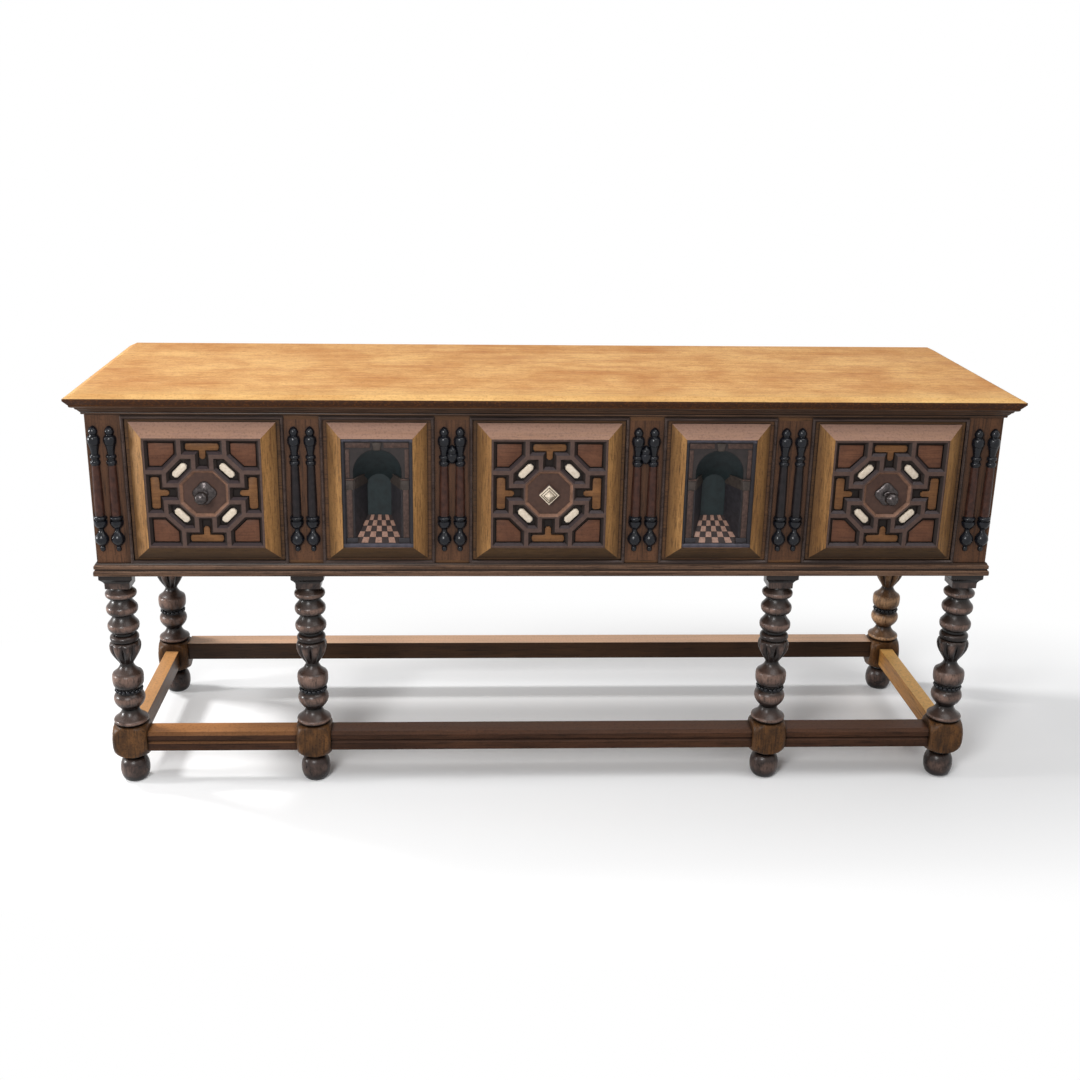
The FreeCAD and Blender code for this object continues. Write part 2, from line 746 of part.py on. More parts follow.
def make_lattice(x):
    """The mitred lattice: strips with bevelled sides round thirteen cells, the octagon sunk least."""
    body = new_body(x, FRONT, PANEL_Z)
    field = rectangle(f"-{FIELD_HALF_X}", FIELD_HALF_X, f"-{FIELD_HALF_Z}", FIELD_HALF_Z)
    pad(body, sketch(body, "XZ_Plane", [field], "field_rise"), "lattice_rise")
    crest = "field_rise + lattice_rise"
    middle = octagon(fitted("octagon_panel"))
    pocket(body, sketch(body, "XZ_Plane", [middle], crest), "octagon_sink")
    cells = lattice_cells(fitted("strip_width / 2"), fitted("border_width"))
    strips = pocket(body, sketch(body, "XZ_Plane", cells, crest), "lattice_rise")
    crest_face = face_towards_front(strips)
    rims = [wire for wire in crest_face.Wires if not wire.isSame(crest_face.OuterWire)]
    bevel(body, strips, [edge for wire in rims for edge in wire.Edges], fitted("strip_bevel"))
    return body


def make_bones(x):
    """Four bevelled bone bars, each across the middle of a six-sided cell at 45 degrees."""
    reach = f"({BONE_CENTRE} / sqrt(2))"
    bars = []
    for turn, x_side, z_side in ((-45, 1, 1), (45, -1, 1), (135, -1, -1), (225, 1, -1)):
        body = new_body(f"{x} + {x_side} * {reach}", FRONT, f"{PANEL_Z} + {z_side} * {reach}",
                        Rotation(Vector(0, 1, 0), -turn))
        long = fitted("bone_length / 2")
        wide = fitted("bone_width / 2")
        nose = f"{long} - {wide} / 2"
        bar = [
            (f"-({long})", "0"), (f"-({nose})", f"-{wide}"), (nose, f"-{wide}"), (long, "0"),
            (nose, wide), (f"-({nose})", wide),
        ]
        bone = pad(body, sketch(body, "XZ_Plane", [bar], "field_rise"), "bone_rise")
        bevel(body, bone, face_towards_front(bone).Edges, "bone_bevel")
        bars.append(body)
    return bars


def make_iron_pull(x):
    """A diamond plate rising to a crown, and a forged eight-sided knob standing straight out of it."""
    body = new_body(x, f"{FRONT} - {OCTAGON_LEVEL}", PANEL_Z, Rotation(Vector(0, 1, 0), 45))
    frustum(body, "-plate_rise", "0", "plate_crown / sqrt(2)", "plate_reach / sqrt(2)")
    neck = sketch(body, "XZ_Plane", [octagon("knob_neck")], "plate_rise / 2")
    ball_low = "knob_length - knob_ball_length"
    pad(body, neck, f"{ball_low} - plate_rise / 2")
    ball = pad(body, sketch(body, "XZ_Plane", [octagon("knob_radius")], ball_low), "knob_ball_length")
    tip = face_towards_front(ball)
    shoulders = [face for face in ball.Shape.Faces if face.normalAt(0, 0).y > 0.99]
    shoulder = min(shoulders, key=lambda face: face.CenterOfMass.y)
    bevel(body, ball, tip.Edges + shoulder.OuterWire.Edges, "knob_bevel")
    return [body]


def make_bone_pull(x):
    """A diamond back plate with a short stem, and a faceted bone knob on its end."""
    facing = Rotation(Vector(0, 1, 0), 45)
    plate = new_body(x, f"{FRONT} - {OCTAGON_LEVEL}", PANEL_Z, facing)
    frustum(plate, "-plate_rise / 2", "0", "plate_crown", "plate_reach / sqrt(2)")
    stem = sketch(plate, "XZ_Plane", [octagon("bone_knob_stem")], "plate_rise / 4")
    pad(plate, stem, "bone_knob_stand - plate_rise / 4")
    knob = new_body(x, f"{FRONT} - {OCTAGON_LEVEL}", PANEL_Z, facing)
    frustum(knob, "-bone_knob_stand - bone_knob_rise", "-bone_knob_stand",
            "bone_knob_tip / sqrt(2)", "bone_knob_reach / sqrt(2)")
    return [knob, plate]


def make_drawer(name, x):
    """One drawer: panelled front, two grooved sides, back and bottom."""
    half = "(bay_width / 2 - bead_width - front_gap)"
    low = f"({OPEN_LOW} + front_gap)"
    high = f"({OPEN_HIGH} - front_gap)"
    front_back = f"({FRONT} + front_thickness)"
    outside = f"({half} - side_inset)"
    inside = f"({outside} - side_thickness)"
    end = f"({FRONT} + drawer_depth)"
    side_low = f"({OPEN_LOW} + slide_gap)"
    side_high = f"({OPEN_HIGH} - side_top_gap)"
    bottom_low = f"({side_low} + drawer_bottom_lift)"
    bottom_high = f"({bottom_low} + drawer_bottom_thickness)"
    back_front = f"({end} - drawer_back_thickness)"

    bottom = box(
        (f"{x} - {inside} - bottom_groove", f"{x} + {inside} + bottom_groove"),
        (f"{front_back} - bottom_groove", end), (bottom_low, bottom_high))
    board = box((f"{x} - {half}", f"{x} + {half}"), (FRONT, front_back), (low, high))
    field = box((f"{x} - {FIELD_HALF_X}", f"{x} + {FIELD_HALF_X}"), (f"{FRONT} - field_rise", FRONT),
                (f"{PANEL_Z} - {FIELD_HALF_Z}", f"{PANEL_Z} + {FIELD_HALF_Z}"))
    node(f"{name}_drawer_front", cut(joined(board, field), bottom))
    node(f"{name}_drawer_frame", *panel_frame("bay_width", x))
    node(f"{name}_drawer_lattice", make_lattice(x))
    node(f"{name}_drawer_bones", *make_bones(x))
    pull = make_bone_pull(x) if name == "centre" else make_iron_pull(x)
    node(f"{name}_drawer_pull", *pull)
    sides = []
    for side in SIDES.values():
        faces = [f"{x} + {side} * {outside}", f"{x} + {side} * {inside}"][::-side]
        sides.append(cut(box(faces, (front_back, end), (side_low, side_high)), bottom))
    node(f"{name}_drawer_sides", *sides)
    between_sides = (f"{x} - {inside}", f"{x} + {inside}")
    back_z = (bottom_high, f"{side_high} - drawer_back_drop")
    node(f"{name}_drawer_back", box(between_sides, (back_front, end), back_z))
    node(f"{name}_drawer_bottom", bottom)


def make_drawer_runs():
    """What carries each drawer inside the case: runners with guides, kickers above and stops behind."""
    outside = "(bay_width / 2 - bead_width - front_gap - side_inset)"
    guide = f"({outside} + side_gap)"
    length = (SILL_BACK, BACK_RAIL_FACE)
    runners, guides, kickers, stops = [], [], [], []
    stop_y = (f"{FRONT} + drawer_depth + slide_gap", BACK_RAIL_FACE)
    kicker_low = f"{OPEN_HIGH} - side_top_gap + kicker_gap"
    kicker_z = (kicker_low, f"{kicker_low} + kicker_height")
    for x in BAYS.values():
        for side in SIDES.values():
            outer = f"{x} + {side} * ({guide} + guide_thickness)"
            middle = f"{x} + {side} * {guide}"
            inner = f"{x} + {side} * ({guide} - runner_width)"
            across = (outer, inner)[::-side]
            upright = (outer, middle)[::-side]
            under = (middle, inner)[::-side]
            runners.append(box(across, length, (f"{OPEN_LOW} - runner_height", OPEN_LOW)))
            guides.append(box(upright, length, (OPEN_LOW, f"{OPEN_LOW} + guide_height")))
            stops.append(box(under, stop_y, (OPEN_LOW, f"{OPEN_LOW} + stop_height")))
            kickers.append(box(under, (RAIL_BACK, BACK_RAIL_FACE), kicker_z))
    node("drawer_runners", *runners)
    node("drawer_guides", *guides)
    node("drawer_kickers", *kickers)
    node("drawer_stops", *stops)


def arch(half, floor, spring, rise):
    """A round-headed opening about the panel's middle."""
    return [(f"-{half}", f"-{floor}"), (half, f"-{floor}"), (half, spring, rise), (f"-{half}", spring)]


def make_niches():
    """Two fixed panels, each with a bevelled frame round a recess in false perspective that narrows to a
    small arch at the back."""
    half_x = "(niche_width / 2 - panel_margin_side - frame_width)"
    half_z = FIELD_HALF_Z
    border_x = f"({half_x} - niche_border)"
    border_z = f"({half_z} - niche_border)"
    border_section = [
        ("0", "0"), ("niche_border", "0"), ("niche_border", "niche_border_rise"),
        ("niche_border / 3", "niche_border_rise"), ("0", "niche_border_rise / 3"),
    ]
    front_face = f"({FRONT} - frame_proud + niche_set_back)"
    panels, frames, recesses, tiles = [], [], [], []
    for side in SIDES.values():
        x = f"({side} * {NICHE_X})"
        board = box((f"{x} - niche_width / 2 + bead_width", f"{x} + niche_width / 2 - bead_width"),
                    (FRONT, f"{FRONT} + niche_panel_thickness"), (OPEN_LOW, OPEN_HIGH))
        hole = box((f"{x} - {half_x}", f"{x} + {half_x}"), (f"{FRONT} - frame_proud", BACK),
                   (f"{PANEL_Z} - {half_z}", f"{PANEL_Z} + {half_z}"))
        panels.append(cut(board, hole))
        frames += panel_frame("niche_width", x)
        block = new_body(x, front_face, PANEL_Z)
        outline = rectangle(f"-{half_x}", half_x, f"-{half_z}", half_z)
        pad(block, sketch(block, "XZ_Plane", [outline]), "niche_depth + niche_back_thickness", reverse=True)
        near_arch = arch("arch_half", "arch_floor", "arch_spring", "arch_rise")
        far_arch = arch("vista_half", "vista_floor", "vista_spring", "vista_rise")
        vista = block.newObject("PartDesign::SubtractiveLoft", "Vista")
        vista.Profile = sketch(block, "XZ_Plane", [near_arch])
        vista.Sections = [sketch(block, "XZ_Plane", [far_arch], "-niche_depth")]
        vista.Ruled = True
        recesses.append(block)
        recesses += mitred_frame(border_section, "niche_border", border_x, border_z, x, front_face, PANEL_Z)
        tiles.append(make_tiles(x, front_face))
    node("niche_panels", *panels)
    node("niche_frames", *frames)
    node("niche_recesses", *recesses)
    node("niche_tiles", *tiles)


def make_tiles(x, front_face):
    """Pale tiles let in to the rising floor as a chequer that narrows towards the back."""
    body = new_body(x, front_face, f"{PANEL_Z} - arch_floor", Rotation(Vector(1, 0, 0), 1))
    rise = "(arch_floor - vista_floor)"
    bind(body, "Placement.Rotation.Angle", f"atan({rise} / niche_depth)")
    length = f"sqrt(niche_depth^2 + {rise}^2)"
    tiles = []
    for line in range(NICHE_TILE_ROWS):
        for column in range(line % 2 == 0, NICHE_TILE_COLUMNS, 2):
            ahead, beside = line + 1, column + 1
            corners = []
            for along, across in ((line, column), (line, beside), (ahead, beside), (ahead, column)):
                share = along / NICHE_TILE_ROWS
                half = f"(arch_half + (vista_half - arch_half) * {share})"
                inward_x = 1 if across == column else -1
                inward_y = 1 if along == line else -1
                corners.append((
                    f"{half} * {2 * across / NICHE_TILE_COLUMNS - 1} + {inward_x} * tile_joint / 2",
                    f"{length} * {share} + {inward_y} * tile_joint / 2"))
            tiles.append(corners)
    pad(body, sketch(body, "XY_Plane", tiles), "tile_rise")
    return body


def make_split_balusters():
    """Split ornaments with a flat back and bevelled edges: a pair of balusters on each of the six
    pilasters, and an acorn boss between the pair on the two inner ones."""
    parts = (
        "drop_height", "pear_height", "bell_height", "shaft_height", "reel_height", "bulb_height",
        "finial_height",
    )
    rises = ["0"]
    for part in parts:
        rises.append(f"{rises[-1]} + {part}")
    floor, pear, bell, shaft, reel, bulb, finial, tip = rises
    baluster = [
        ("baluster_neck", floor), ("baluster_neck", pear),
        ("baluster_bulb", f"{pear} + pear_height * 0.35"), ("baluster_neck", bell),
        ("baluster_bulb", f"{shaft} - bell_height / 3"), ("baluster_bulb", shaft),
        ("baluster_shaft", shaft), ("baluster_shaft_top", reel), ("baluster_reel", reel),
        ("baluster_reel", bulb), ("baluster_bulb", f"{finial} - bulb_height / 4"), ("baluster_neck", finial),
        ("baluster_neck", tip),
    ]
    acorn = [
        ("acorn_radius * 0.5", "0"), ("acorn_radius", "acorn_height * 0.35"),
        ("acorn_radius", "acorn_height * 0.5"), ("acorn_radius * 0.4", "acorn_height"),
    ]
    ornaments = []
    low = f"{BAY_LOW} + baluster_lift"
    for place in (INNER_MUNTIN, OUTER_MUNTIN, f"({CORNER_X} + corner_baluster_shift)"):
        for side in SIDES.values():
            for step in SIDES.values():
                x = f"{side} * {place} + {step} * baluster_spacing / 2"
                ornaments.append(split_turning(baluster, "baluster_bulb", x, low))
    acorn_low = f"{low} + {tip} - acorn_drop - acorn_height"
    for side in SIDES.values():
        ornaments.append(split_turning(acorn, "acorn_radius", f"{side} * {INNER_MUNTIN}", acorn_low))
    node("split_balusters", *ornaments)


def split_turning(edge, thickness, x, z):
    """A turned outline, the same on both sides of its axis, sawn to a thickness and bevelled in front."""
    body = new_body(x, FRONT, z)
    outline = edge + [(f"-({reach})", rise) for reach, rise in reversed(edge)]
    blank = pad(body, sketch(body, "XZ_Plane", [outline]), thickness)
    bevel(body, blank, face_towards_front(blank).Edges, "baluster_bevel")
    return body


def make_leg(x, y):
    """One leg: ball foot, block, disc, two balls round a pearl ring, cup, three rings and capital."""
    body = new_body(x, y)
    rises = ["0"]
    for part in LEG_PARTS:
        rises.append(f"{rises[-1]} + {part}")
    (floor, block, disc, lower_ball, pearls, upper_ball, cup,
     lower_ring, middle_ring, upper_ring, capital, top) = rises
    profile = [
        ("0", floor), ("foot_flat", floor), ("foot_radius", f"{floor} + foot_round"),
        ("foot_radius", f"{block} - foot_neck"), ("ankle_radius", block), ("ankle_radius", disc),
        ("disc_seat", disc), ("disc_radius", f"{disc} + disc_edge_lift"),
        ("waist_radius", lower_ball), ("lower_ball_radius", f"{lower_ball} + lower_ball_round"),
        ("lower_ball_radius", f"{pearls} - lower_ball_round"),
        ("pearl_ring_radius", pearls), ("pearl_ring_radius", upper_ball),
        ("upper_ball_radius", f"{upper_ball} + upper_ball_round"),
        ("upper_ball_radius", f"{cup} - upper_ball_neck"),
        ("cup_neck_radius", cup), ("cup_radius", f"{lower_ring} - cup_lip"),
        ("ring_neck", lower_ring), ("lower_ring_radius", f"{lower_ring} + lower_ring_height / 2"),
        ("ring_neck", middle_ring), ("middle_ring_radius", f"{middle_ring} + middle_ring_height / 2"),
        ("ring_neck", upper_ring), ("upper_ring_radius", f"{upper_ring} + upper_ring_height / 2"),
        ("ring_neck", capital), ("ring_neck", top), ("0", top),
    ]
    turned(body, sketch(body, "XZ_Plane", [profile]))
    half = "block_width / 2"
    narrow = f"{half} - block_shoulder / 2"
    frustum(body, block, f"{block} + block_shoulder", narrow, half, upright=True)
    frustum(body, f"{block} + block_shoulder", f"{disc} - block_shoulder", half, half, upright=True)
    frustum(body, f"{disc} - block_shoulder", disc, half, narrow, upright=True)
    wide = "capital_width / 2"
    frustum(body, capital, f"{top} - capital_slab", "capital_foot / 2", wide, upright=True)
    frustum(body, f"{top} - capital_slab", top, wide, wide, upright=True)
    return body


def make_legs_and_stretchers():
    """Four legs in front and two behind, with stretchers tenoned in to their blocks."""
    front_x = [f"(-{LEG_X})", f"(-{OUTER_MUNTIN})", OUTER_MUNTIN, LEG_X]
    rear_x = [front_x[0], front_x[-1]]
    block = "block_width / 2"
    deep = "stretcher_depth / 2"
    slim = "end_stretcher_width / 2"
    tall = "stretcher_height / 2"
    front_mortises = {x: [] for x in front_x}
    rear_mortises = {x: [] for x in rear_x}

    low_z = (f"stretcher_lift - {tall}", f"stretcher_lift + {tall}")
    face = f"-{deep}"
    section = [
        (deep, f"-{tall}"), (deep, tall), (f"{face} + stretcher_bevel", tall),
        (face, f"{tall} - stretcher_bevel"), (face, "stretcher_groove"),
        (f"{face} + stretcher_groove", "0"), (face, "-stretcher_groove"), (face, f"-{tall}"),
    ]
    for name, left, right in zip(("left", "centre", "right"), front_x[:-1], front_x[1:]):
        span = (f"{left} + {block}", f"{right} - {block}")
        pair = tenons(span, (f"{LEG_FRONT_Y} - {deep}", f"{LEG_FRONT_Y} + {deep}"), low_z, "x", "y")
        body = new_body("0", LEG_FRONT_Y, "stretcher_lift")
        pad(body, sketch(body, "YZ_Plane", [section], span[0]), f"({span[1]}) - ({span[0]})")
        node(f"front_stretcher_{name}", joined(body, *pair))
        front_mortises[left].append(pair[0])
        front_mortises[right].append(pair[1])
    for name, x in zip(SIDES, rear_x):
        span = (f"{LEG_FRONT_Y} + {block}", f"{LEG_BACK_Y} - {block}")
        bar, pair = rail((f"{x} - {slim}", f"{x} + {slim}"), span, low_z, "y", "x")
        node(f"end_stretcher_{name}", bar)
        front_mortises[x].append(pair[0])
        rear_mortises[x].append(pair[1])
    high_z = (f"back_stretcher_lift - {tall}", f"back_stretcher_lift + {tall}")
    span = (f"{rear_x[0]} + {block}", f"{rear_x[1]} - {block}")
    bar, pair = rail(span, (f"{LEG_BACK_Y} - {deep}", f"{LEG_BACK_Y} + {deep}"), high_z, "x", "y")
    node("back_stretcher", bar)
    for x, tenon in zip(rear_x, pair):
        rear_mortises[x].append(tenon)
    for label, y, mortises in (
        ("front_legs", LEG_FRONT_Y, front_mortises), ("rear_legs", LEG_BACK_Y, rear_mortises),
    ):
        legs = [cut(joined(make_leg(x, y), leg_tenon(x, y)), *slots) for x, slots in mortises.items()]
        node(label, *legs)


make_top()
make_case()
make_case_mouldings()
make_opening_beads()
make_split_balusters()
make_drawer_runs()
for bay, bay_x in BAYS.items():
    make_drawer(bay, bay_x)
make_niches()
make_legs_and_stretchers()
doc.recompute()

for item in doc.Objects:
    if {"Invalid", "Error"} & set(item.State):
        raise RuntimeError(f"{item.Label} did not build: {item.State}")
os.makedirs("parts", exist_ok=True)
for item in nodes:
    shape = item.Shape
    if shape.isNull() or not shape.isValid():
        raise RuntimeError(f"{item.Label} has no valid shape")
    shape.exportStep(f"parts/{item.Label}.step")
print(len(nodes), "sub-parts")
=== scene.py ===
import math

import bmesh
import bpy
from mathutils import Matrix, Vector


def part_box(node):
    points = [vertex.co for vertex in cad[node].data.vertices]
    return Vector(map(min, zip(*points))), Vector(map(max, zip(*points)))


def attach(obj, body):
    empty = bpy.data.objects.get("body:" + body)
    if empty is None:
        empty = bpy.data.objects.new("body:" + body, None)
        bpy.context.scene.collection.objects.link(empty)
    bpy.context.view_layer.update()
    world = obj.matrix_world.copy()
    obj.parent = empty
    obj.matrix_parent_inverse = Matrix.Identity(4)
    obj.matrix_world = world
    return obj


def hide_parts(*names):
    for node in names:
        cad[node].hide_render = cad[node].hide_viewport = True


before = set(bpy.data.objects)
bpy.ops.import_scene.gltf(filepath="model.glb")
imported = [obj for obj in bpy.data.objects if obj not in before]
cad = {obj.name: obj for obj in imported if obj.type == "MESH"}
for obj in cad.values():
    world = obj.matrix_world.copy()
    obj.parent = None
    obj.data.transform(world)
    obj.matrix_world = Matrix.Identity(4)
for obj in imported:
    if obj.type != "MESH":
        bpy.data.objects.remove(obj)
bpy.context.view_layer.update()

# Lengths are written in millimetres and turned to metres where a mesh or a pattern is made.
MM = 0.001


def corners(node):
    """A solid's lowest and highest corners in the frame, in millimetres to the hundredth."""
    return [[round(reach / MM, 2) for reach in corner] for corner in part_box(node)]


# The planes that pieces are set on.
(_, FRONT, _), _ = corners("front_top_rail")
(_, FIELD_LEVEL, _), _ = corners("centre_drawer_front")
_, (_, OCTAGON_LEVEL, _) = corners("centre_drawer_pull")
_, (CASE_HALF, BACK, _) = corners("rear_post_right")
_, (_, _, TOP_LEVEL) = corners("top")
NICHE_LEVEL = FRONT - 14
# The middles of the drawers and niches, and half the sizes of the lattice on a drawer.
(LATTICE_LEFT, _, LATTICE_LOW), (LATTICE_RIGHT, _, LATTICE_HIGH) = corners("right_drawer_lattice")
PANEL_Z = (LATTICE_LOW + LATTICE_HIGH) / 2
BAY_PITCH = (LATTICE_LEFT + LATTICE_RIGHT) / 2
BAYS = {"left": -BAY_PITCH, "centre": 0, "right": BAY_PITCH}
NICHES = {"left": -BAY_PITCH / 2, "right": BAY_PITCH / 2}
LATTICE_X, LATTICE_Z = LATTICE_RIGHT - BAY_PITCH, LATTICE_HIGH - PANEL_Z
# The middles of the muntins, which are as far from a niche's middle on both its sides.
MUNTIN_STEP = 144
INNER_MUNTIN, OUTER_MUNTIN = BAY_PITCH / 2 - MUNTIN_STEP, BAY_PITCH / 2 + MUNTIN_STEP


def colour(code):
    """The linear colour of an sRGB hex value."""
    parts = [int(code[start:start + 2], 16) / 255 for start in (1, 3, 5)]
    linear = [part / 12.92 if part <= 0.04045 else ((part + 0.055) / 1.055) ** 2.4
              for part in parts]
    return (*linear, 1.0)


def add(tree, kind, sockets=None, **properties):
    """Adds one node. A socket is given a value, or another node's output to link."""
    new = tree.nodes.new(kind)
    for name, setting in properties.items():
        setattr(new, name, setting)
    for name, setting in (sockets or {}).items():
        if isinstance(setting, bpy.types.NodeSocket):
            tree.links.new(setting, new.inputs[name])
        else:
            new.inputs[name].default_value = setting
    return new


def new_material(name):
    """An empty material, its tree, and the place of the point that is shaded."""
    material = bpy.data.materials.new(name)
    material.use_nodes = True
    tree = material.node_tree
    tree.nodes.clear()
    return material, tree, add(tree, "ShaderNodeTexCoord").outputs["Object"]


def finish_material(tree, tone, pattern, gloss, shine, **sockets):
    """The surface shader. Its roughness runs between the two values of gloss, by a pattern."""
    roughness = add(tree, "ShaderNodeMapRange",
                    {"Value": pattern, "To Min": gloss[0], "To Max": gloss[1]}).outputs[0]
    shader = add(tree, "ShaderNodeBsdfPrincipled", {"Base Color": tone, "Roughness": roughness,
                                                    "Specular IOR Level": shine, **sockets})
    add(tree, "ShaderNodeOutputMaterial", {"Surface": shader.outputs[0]})


def painted_corner_shade(tree, tone, dirt_and_shade, reach, unshaded, samples):
    """A tone with shade painted into its corners: how far the painted shade reaches, and how open to the
    air a spot is where the painted shade starts to thin and where there is none."""
    air = add(tree, "ShaderNodeAmbientOcclusion", {"Distance": reach * MM}, samples=samples).outputs["AO"]
    share = add(tree, "ShaderNodeMapRange", {"Value": air, "From Min": unshaded[0], "From Max": unshaded[1]})
    return add(tree, "ShaderNodeMix", {0: share.outputs[0], 6: colour(dirt_and_shade), 7: tone},
               data_type="RGBA").outputs[2]


def from_middle(tree, place, offset):
    """Distances in X and Z from the middle of the nearest drawer, or with an offset, niche."""
    spot = add(tree, "ShaderNodeSeparateXYZ", {0: place}).outputs
    fold = add(tree, "ShaderNodeMath", {0: spot["X"], 1: BAY_PITCH / 2 * MM}, operation="PINGPONG")
    distances = []
    for reading, middle in ((fold.outputs[0], offset), (spot["Z"], PANEL_Z)):
        shifted = add(tree, "ShaderNodeMath", {0: reading, 1: middle * MM}, operation="SUBTRACT")
        distance = add(tree, "ShaderNodeMath", {0: shifted.outputs[0]}, operation="ABSOLUTE")
        distances.append(distance.outputs[0])
    return distances


def mitred_grain(tree, place, offset, half_x, half_z):
    """Coordinates turned so that the grain follows each length of a mitred frame round a panel."""
    over, up = from_middle(tree, place, offset)
    beside, above = (
        add(tree, "ShaderNodeMath", {0: reading, 1: half * MM}, operation="SUBTRACT").outputs[0]
        for reading, half in ((over, half_x), (up, half_z)))
    lying = add(tree, "ShaderNodeMath", {0: above, 1: beside}, operation="GREATER_THAN").outputs[0]
    spot = add(tree, "ShaderNodeSeparateXYZ", {0: place}).outputs
    swapped = add(tree, "ShaderNodeCombineXYZ", {0: spot["Z"], 1: spot["Y"], 2: spot["X"]})
    return add(tree, "ShaderNodeMix", {0: lying, 4: swapped.outputs[0], 5: place},
               data_type="VECTOR").outputs[1]


# The size of the specks of dirt on the oak.
FLECK_SIZE = 4


def oak(name, deep, pale, dirt_and_shade, grain="x", mitre=None, figure=(16, 320), pore=(2.6, 60), patch=240,
        gloss=(0.38, 0.55), shine=0.18, crest_wear_and_shading=None, boards=None, across=None, lit_upward=None,
        shaded_downward=None, shaded_below=None, mottle=0.45, shade_reach=22, fleck=0.25, pitted=0.6):
    """Waxed oak: a streaked figure along the grain, short dark pores, slow cloudy patches, specks of grime
    and shade painted into the corners. Sizes are millimetres across and along the grain.
    The pores of real oak are a third of a millimetre wide and are drawn coarser so that they show.

    crest_wear_and_shading: colours of the hollows, painted dark as shade, and of the crests, paler partly
    from wear and partly as a painted highlight, by the piece's own rub attribute, which marks the crests.
    across: the Y where a second colour is full, the Y where it ends, the colour and its share.
    upward, downward: light painted on faces that point up and shade painted on faces that point down:
    the slope where it starts, the slope where it is full, colour and share.
    stained: painted shade: an axis, the level below which the wood is painted dark on it, and the
    colour."""
    material, tree, place = new_material(name)
    spot = add(tree, "ShaderNodeSeparateXYZ", {0: place}).outputs
    along = mitred_grain(tree, place, *mitre) if mitre else place
    if boards:
        counted = add(tree, "ShaderNodeMath", {0: spot["Y"], 1: boards * MM}, operation="DIVIDE")
        number = add(tree, "ShaderNodeMath", {0: counted.outputs[0]}, operation="FLOOR")
        board = add(tree, "ShaderNodeTexWhiteNoise", {"W": number.outputs[0]}, noise_dimensions="1D")
        along = add(tree, "ShaderNodeVectorMath", {0: along, 1: board.outputs["Color"]},
                    operation="ADD").outputs[0]
    scales = {}
    for part, (breadth, length) in (("figure", figure), ("pore", pore)):
        scale = [1 / (breadth * MM)] * 3
        scale["xyz".index(grain)] = 1 / (length * MM)
        scales[part] = add(tree, "ShaderNodeMapping", {"Vector": along, "Scale": scale}).outputs[0]
    streaks, pores, clouds, flecks = (
        add(tree, "ShaderNodeTexNoise", {"Vector": vector, "Scale": scale, "Detail": detail,
                                         "Roughness": coarse, "Distortion": bend}).outputs[0]
        for vector, scale, detail, coarse, bend in (
            (scales["figure"], 1, 5, 0.62, 0.35), (scales["pore"], 1, 2, 0.5, 0),
            (place, 1 / (patch * MM), 3, 0.55, 0), (place, 1 / (FLECK_SIZE * MM), 3, 0.6, 0)))
    streak = add(tree, "ShaderNodeMapRange",
                 {"Value": streaks, "From Min": 0.3, "From Max": 0.7}).outputs[0]
    cloud = add(tree, "ShaderNodeMapRange",
                {"Value": clouds, "From Min": 0.32, "From Max": 0.68}).outputs[0]
    blend = add(tree, "ShaderNodeMix", {0: mottle, 2: streak, 3: cloud}).outputs[0]
    if boards:
        blend = add(tree, "ShaderNodeMix", {0: 0.22, 2: blend, 3: board.outputs["Value"]}).outputs[0]
    tone = add(tree, "ShaderNodeMix", {0: blend, 6: colour(deep), 7: colour(pale)},
               data_type="RGBA").outputs[2]
    # What is laid over that, in turn: a node that gives its share, and its colour.
    coats = []
    # The crest measure paints shade into the hollows and makes the crests paler, partly from wear and
    # partly as a painted highlight.
    if crest_wear_and_shading:
        hollows, crests = crest_wear_and_shading
        worn = add(tree, "ShaderNodeAttribute", attribute_name="crest_measure").outputs["Fac"]
        raised = add(tree, "ShaderNodeMapRange",
                     {"Value": worn, "From Min": 0.0, "From Max": 0.45}).outputs[0]
        tone = add(tree, "ShaderNodeMix", {0: raised, 6: colour(hollows), 7: tone},
                   data_type="RGBA").outputs[2]
        uneven = add(tree, "ShaderNodeMapRange", {"Value": streaks, "From Min": 0.25, "From Max": 0.6,
                                                  "To Min": 0.55}).outputs[0]
        patchy = add(tree, "ShaderNodeMath", {0: worn, 1: uneven}, operation="MULTIPLY").outputs[0]
        crest = add(tree, "ShaderNodeMapRange", {"Value": patchy, "From Min": 0.5, "From Max": 1.0})
        coats.append((crest, crests))
    pits = add(tree, "ShaderNodeMapRange",
               {"Value": pores, "From Min": 0.52, "From Max": 0.68, "To Max": pitted})
    coats.append((pits, dirt_and_shade))
    if across:
        full, end, code, share = across
        depth = add(tree, "ShaderNodeMapRange", {"Value": spot["Y"], "From Min": end * MM,
                                                 "From Max": full * MM, "To Max": share})
        coats.append((depth, code))
    # Light painted on the faces that point up and shade painted on those that point down.
    for lean in (lit_upward, shaded_downward):
        if lean:
            start, full, code, share = lean
            normal = add(tree, "ShaderNodeNewGeometry").outputs["Normal"]
            slope = add(tree, "ShaderNodeSeparateXYZ", {0: normal}).outputs["Z"]
            facing_share = add(tree, "ShaderNodeMapRange",
                        {"Value": slope, "From Min": start, "From Max": full}).outputs[0]
            uneven = add(tree, "ShaderNodeMapRange",
                         {"Value": streak, "To Min": share * 0.75, "To Max": share}).outputs[0]
            given = add(tree, "ShaderNodeMath", {0: facing_share, 1: uneven}, operation="MULTIPLY")
            coats.append((given, code))
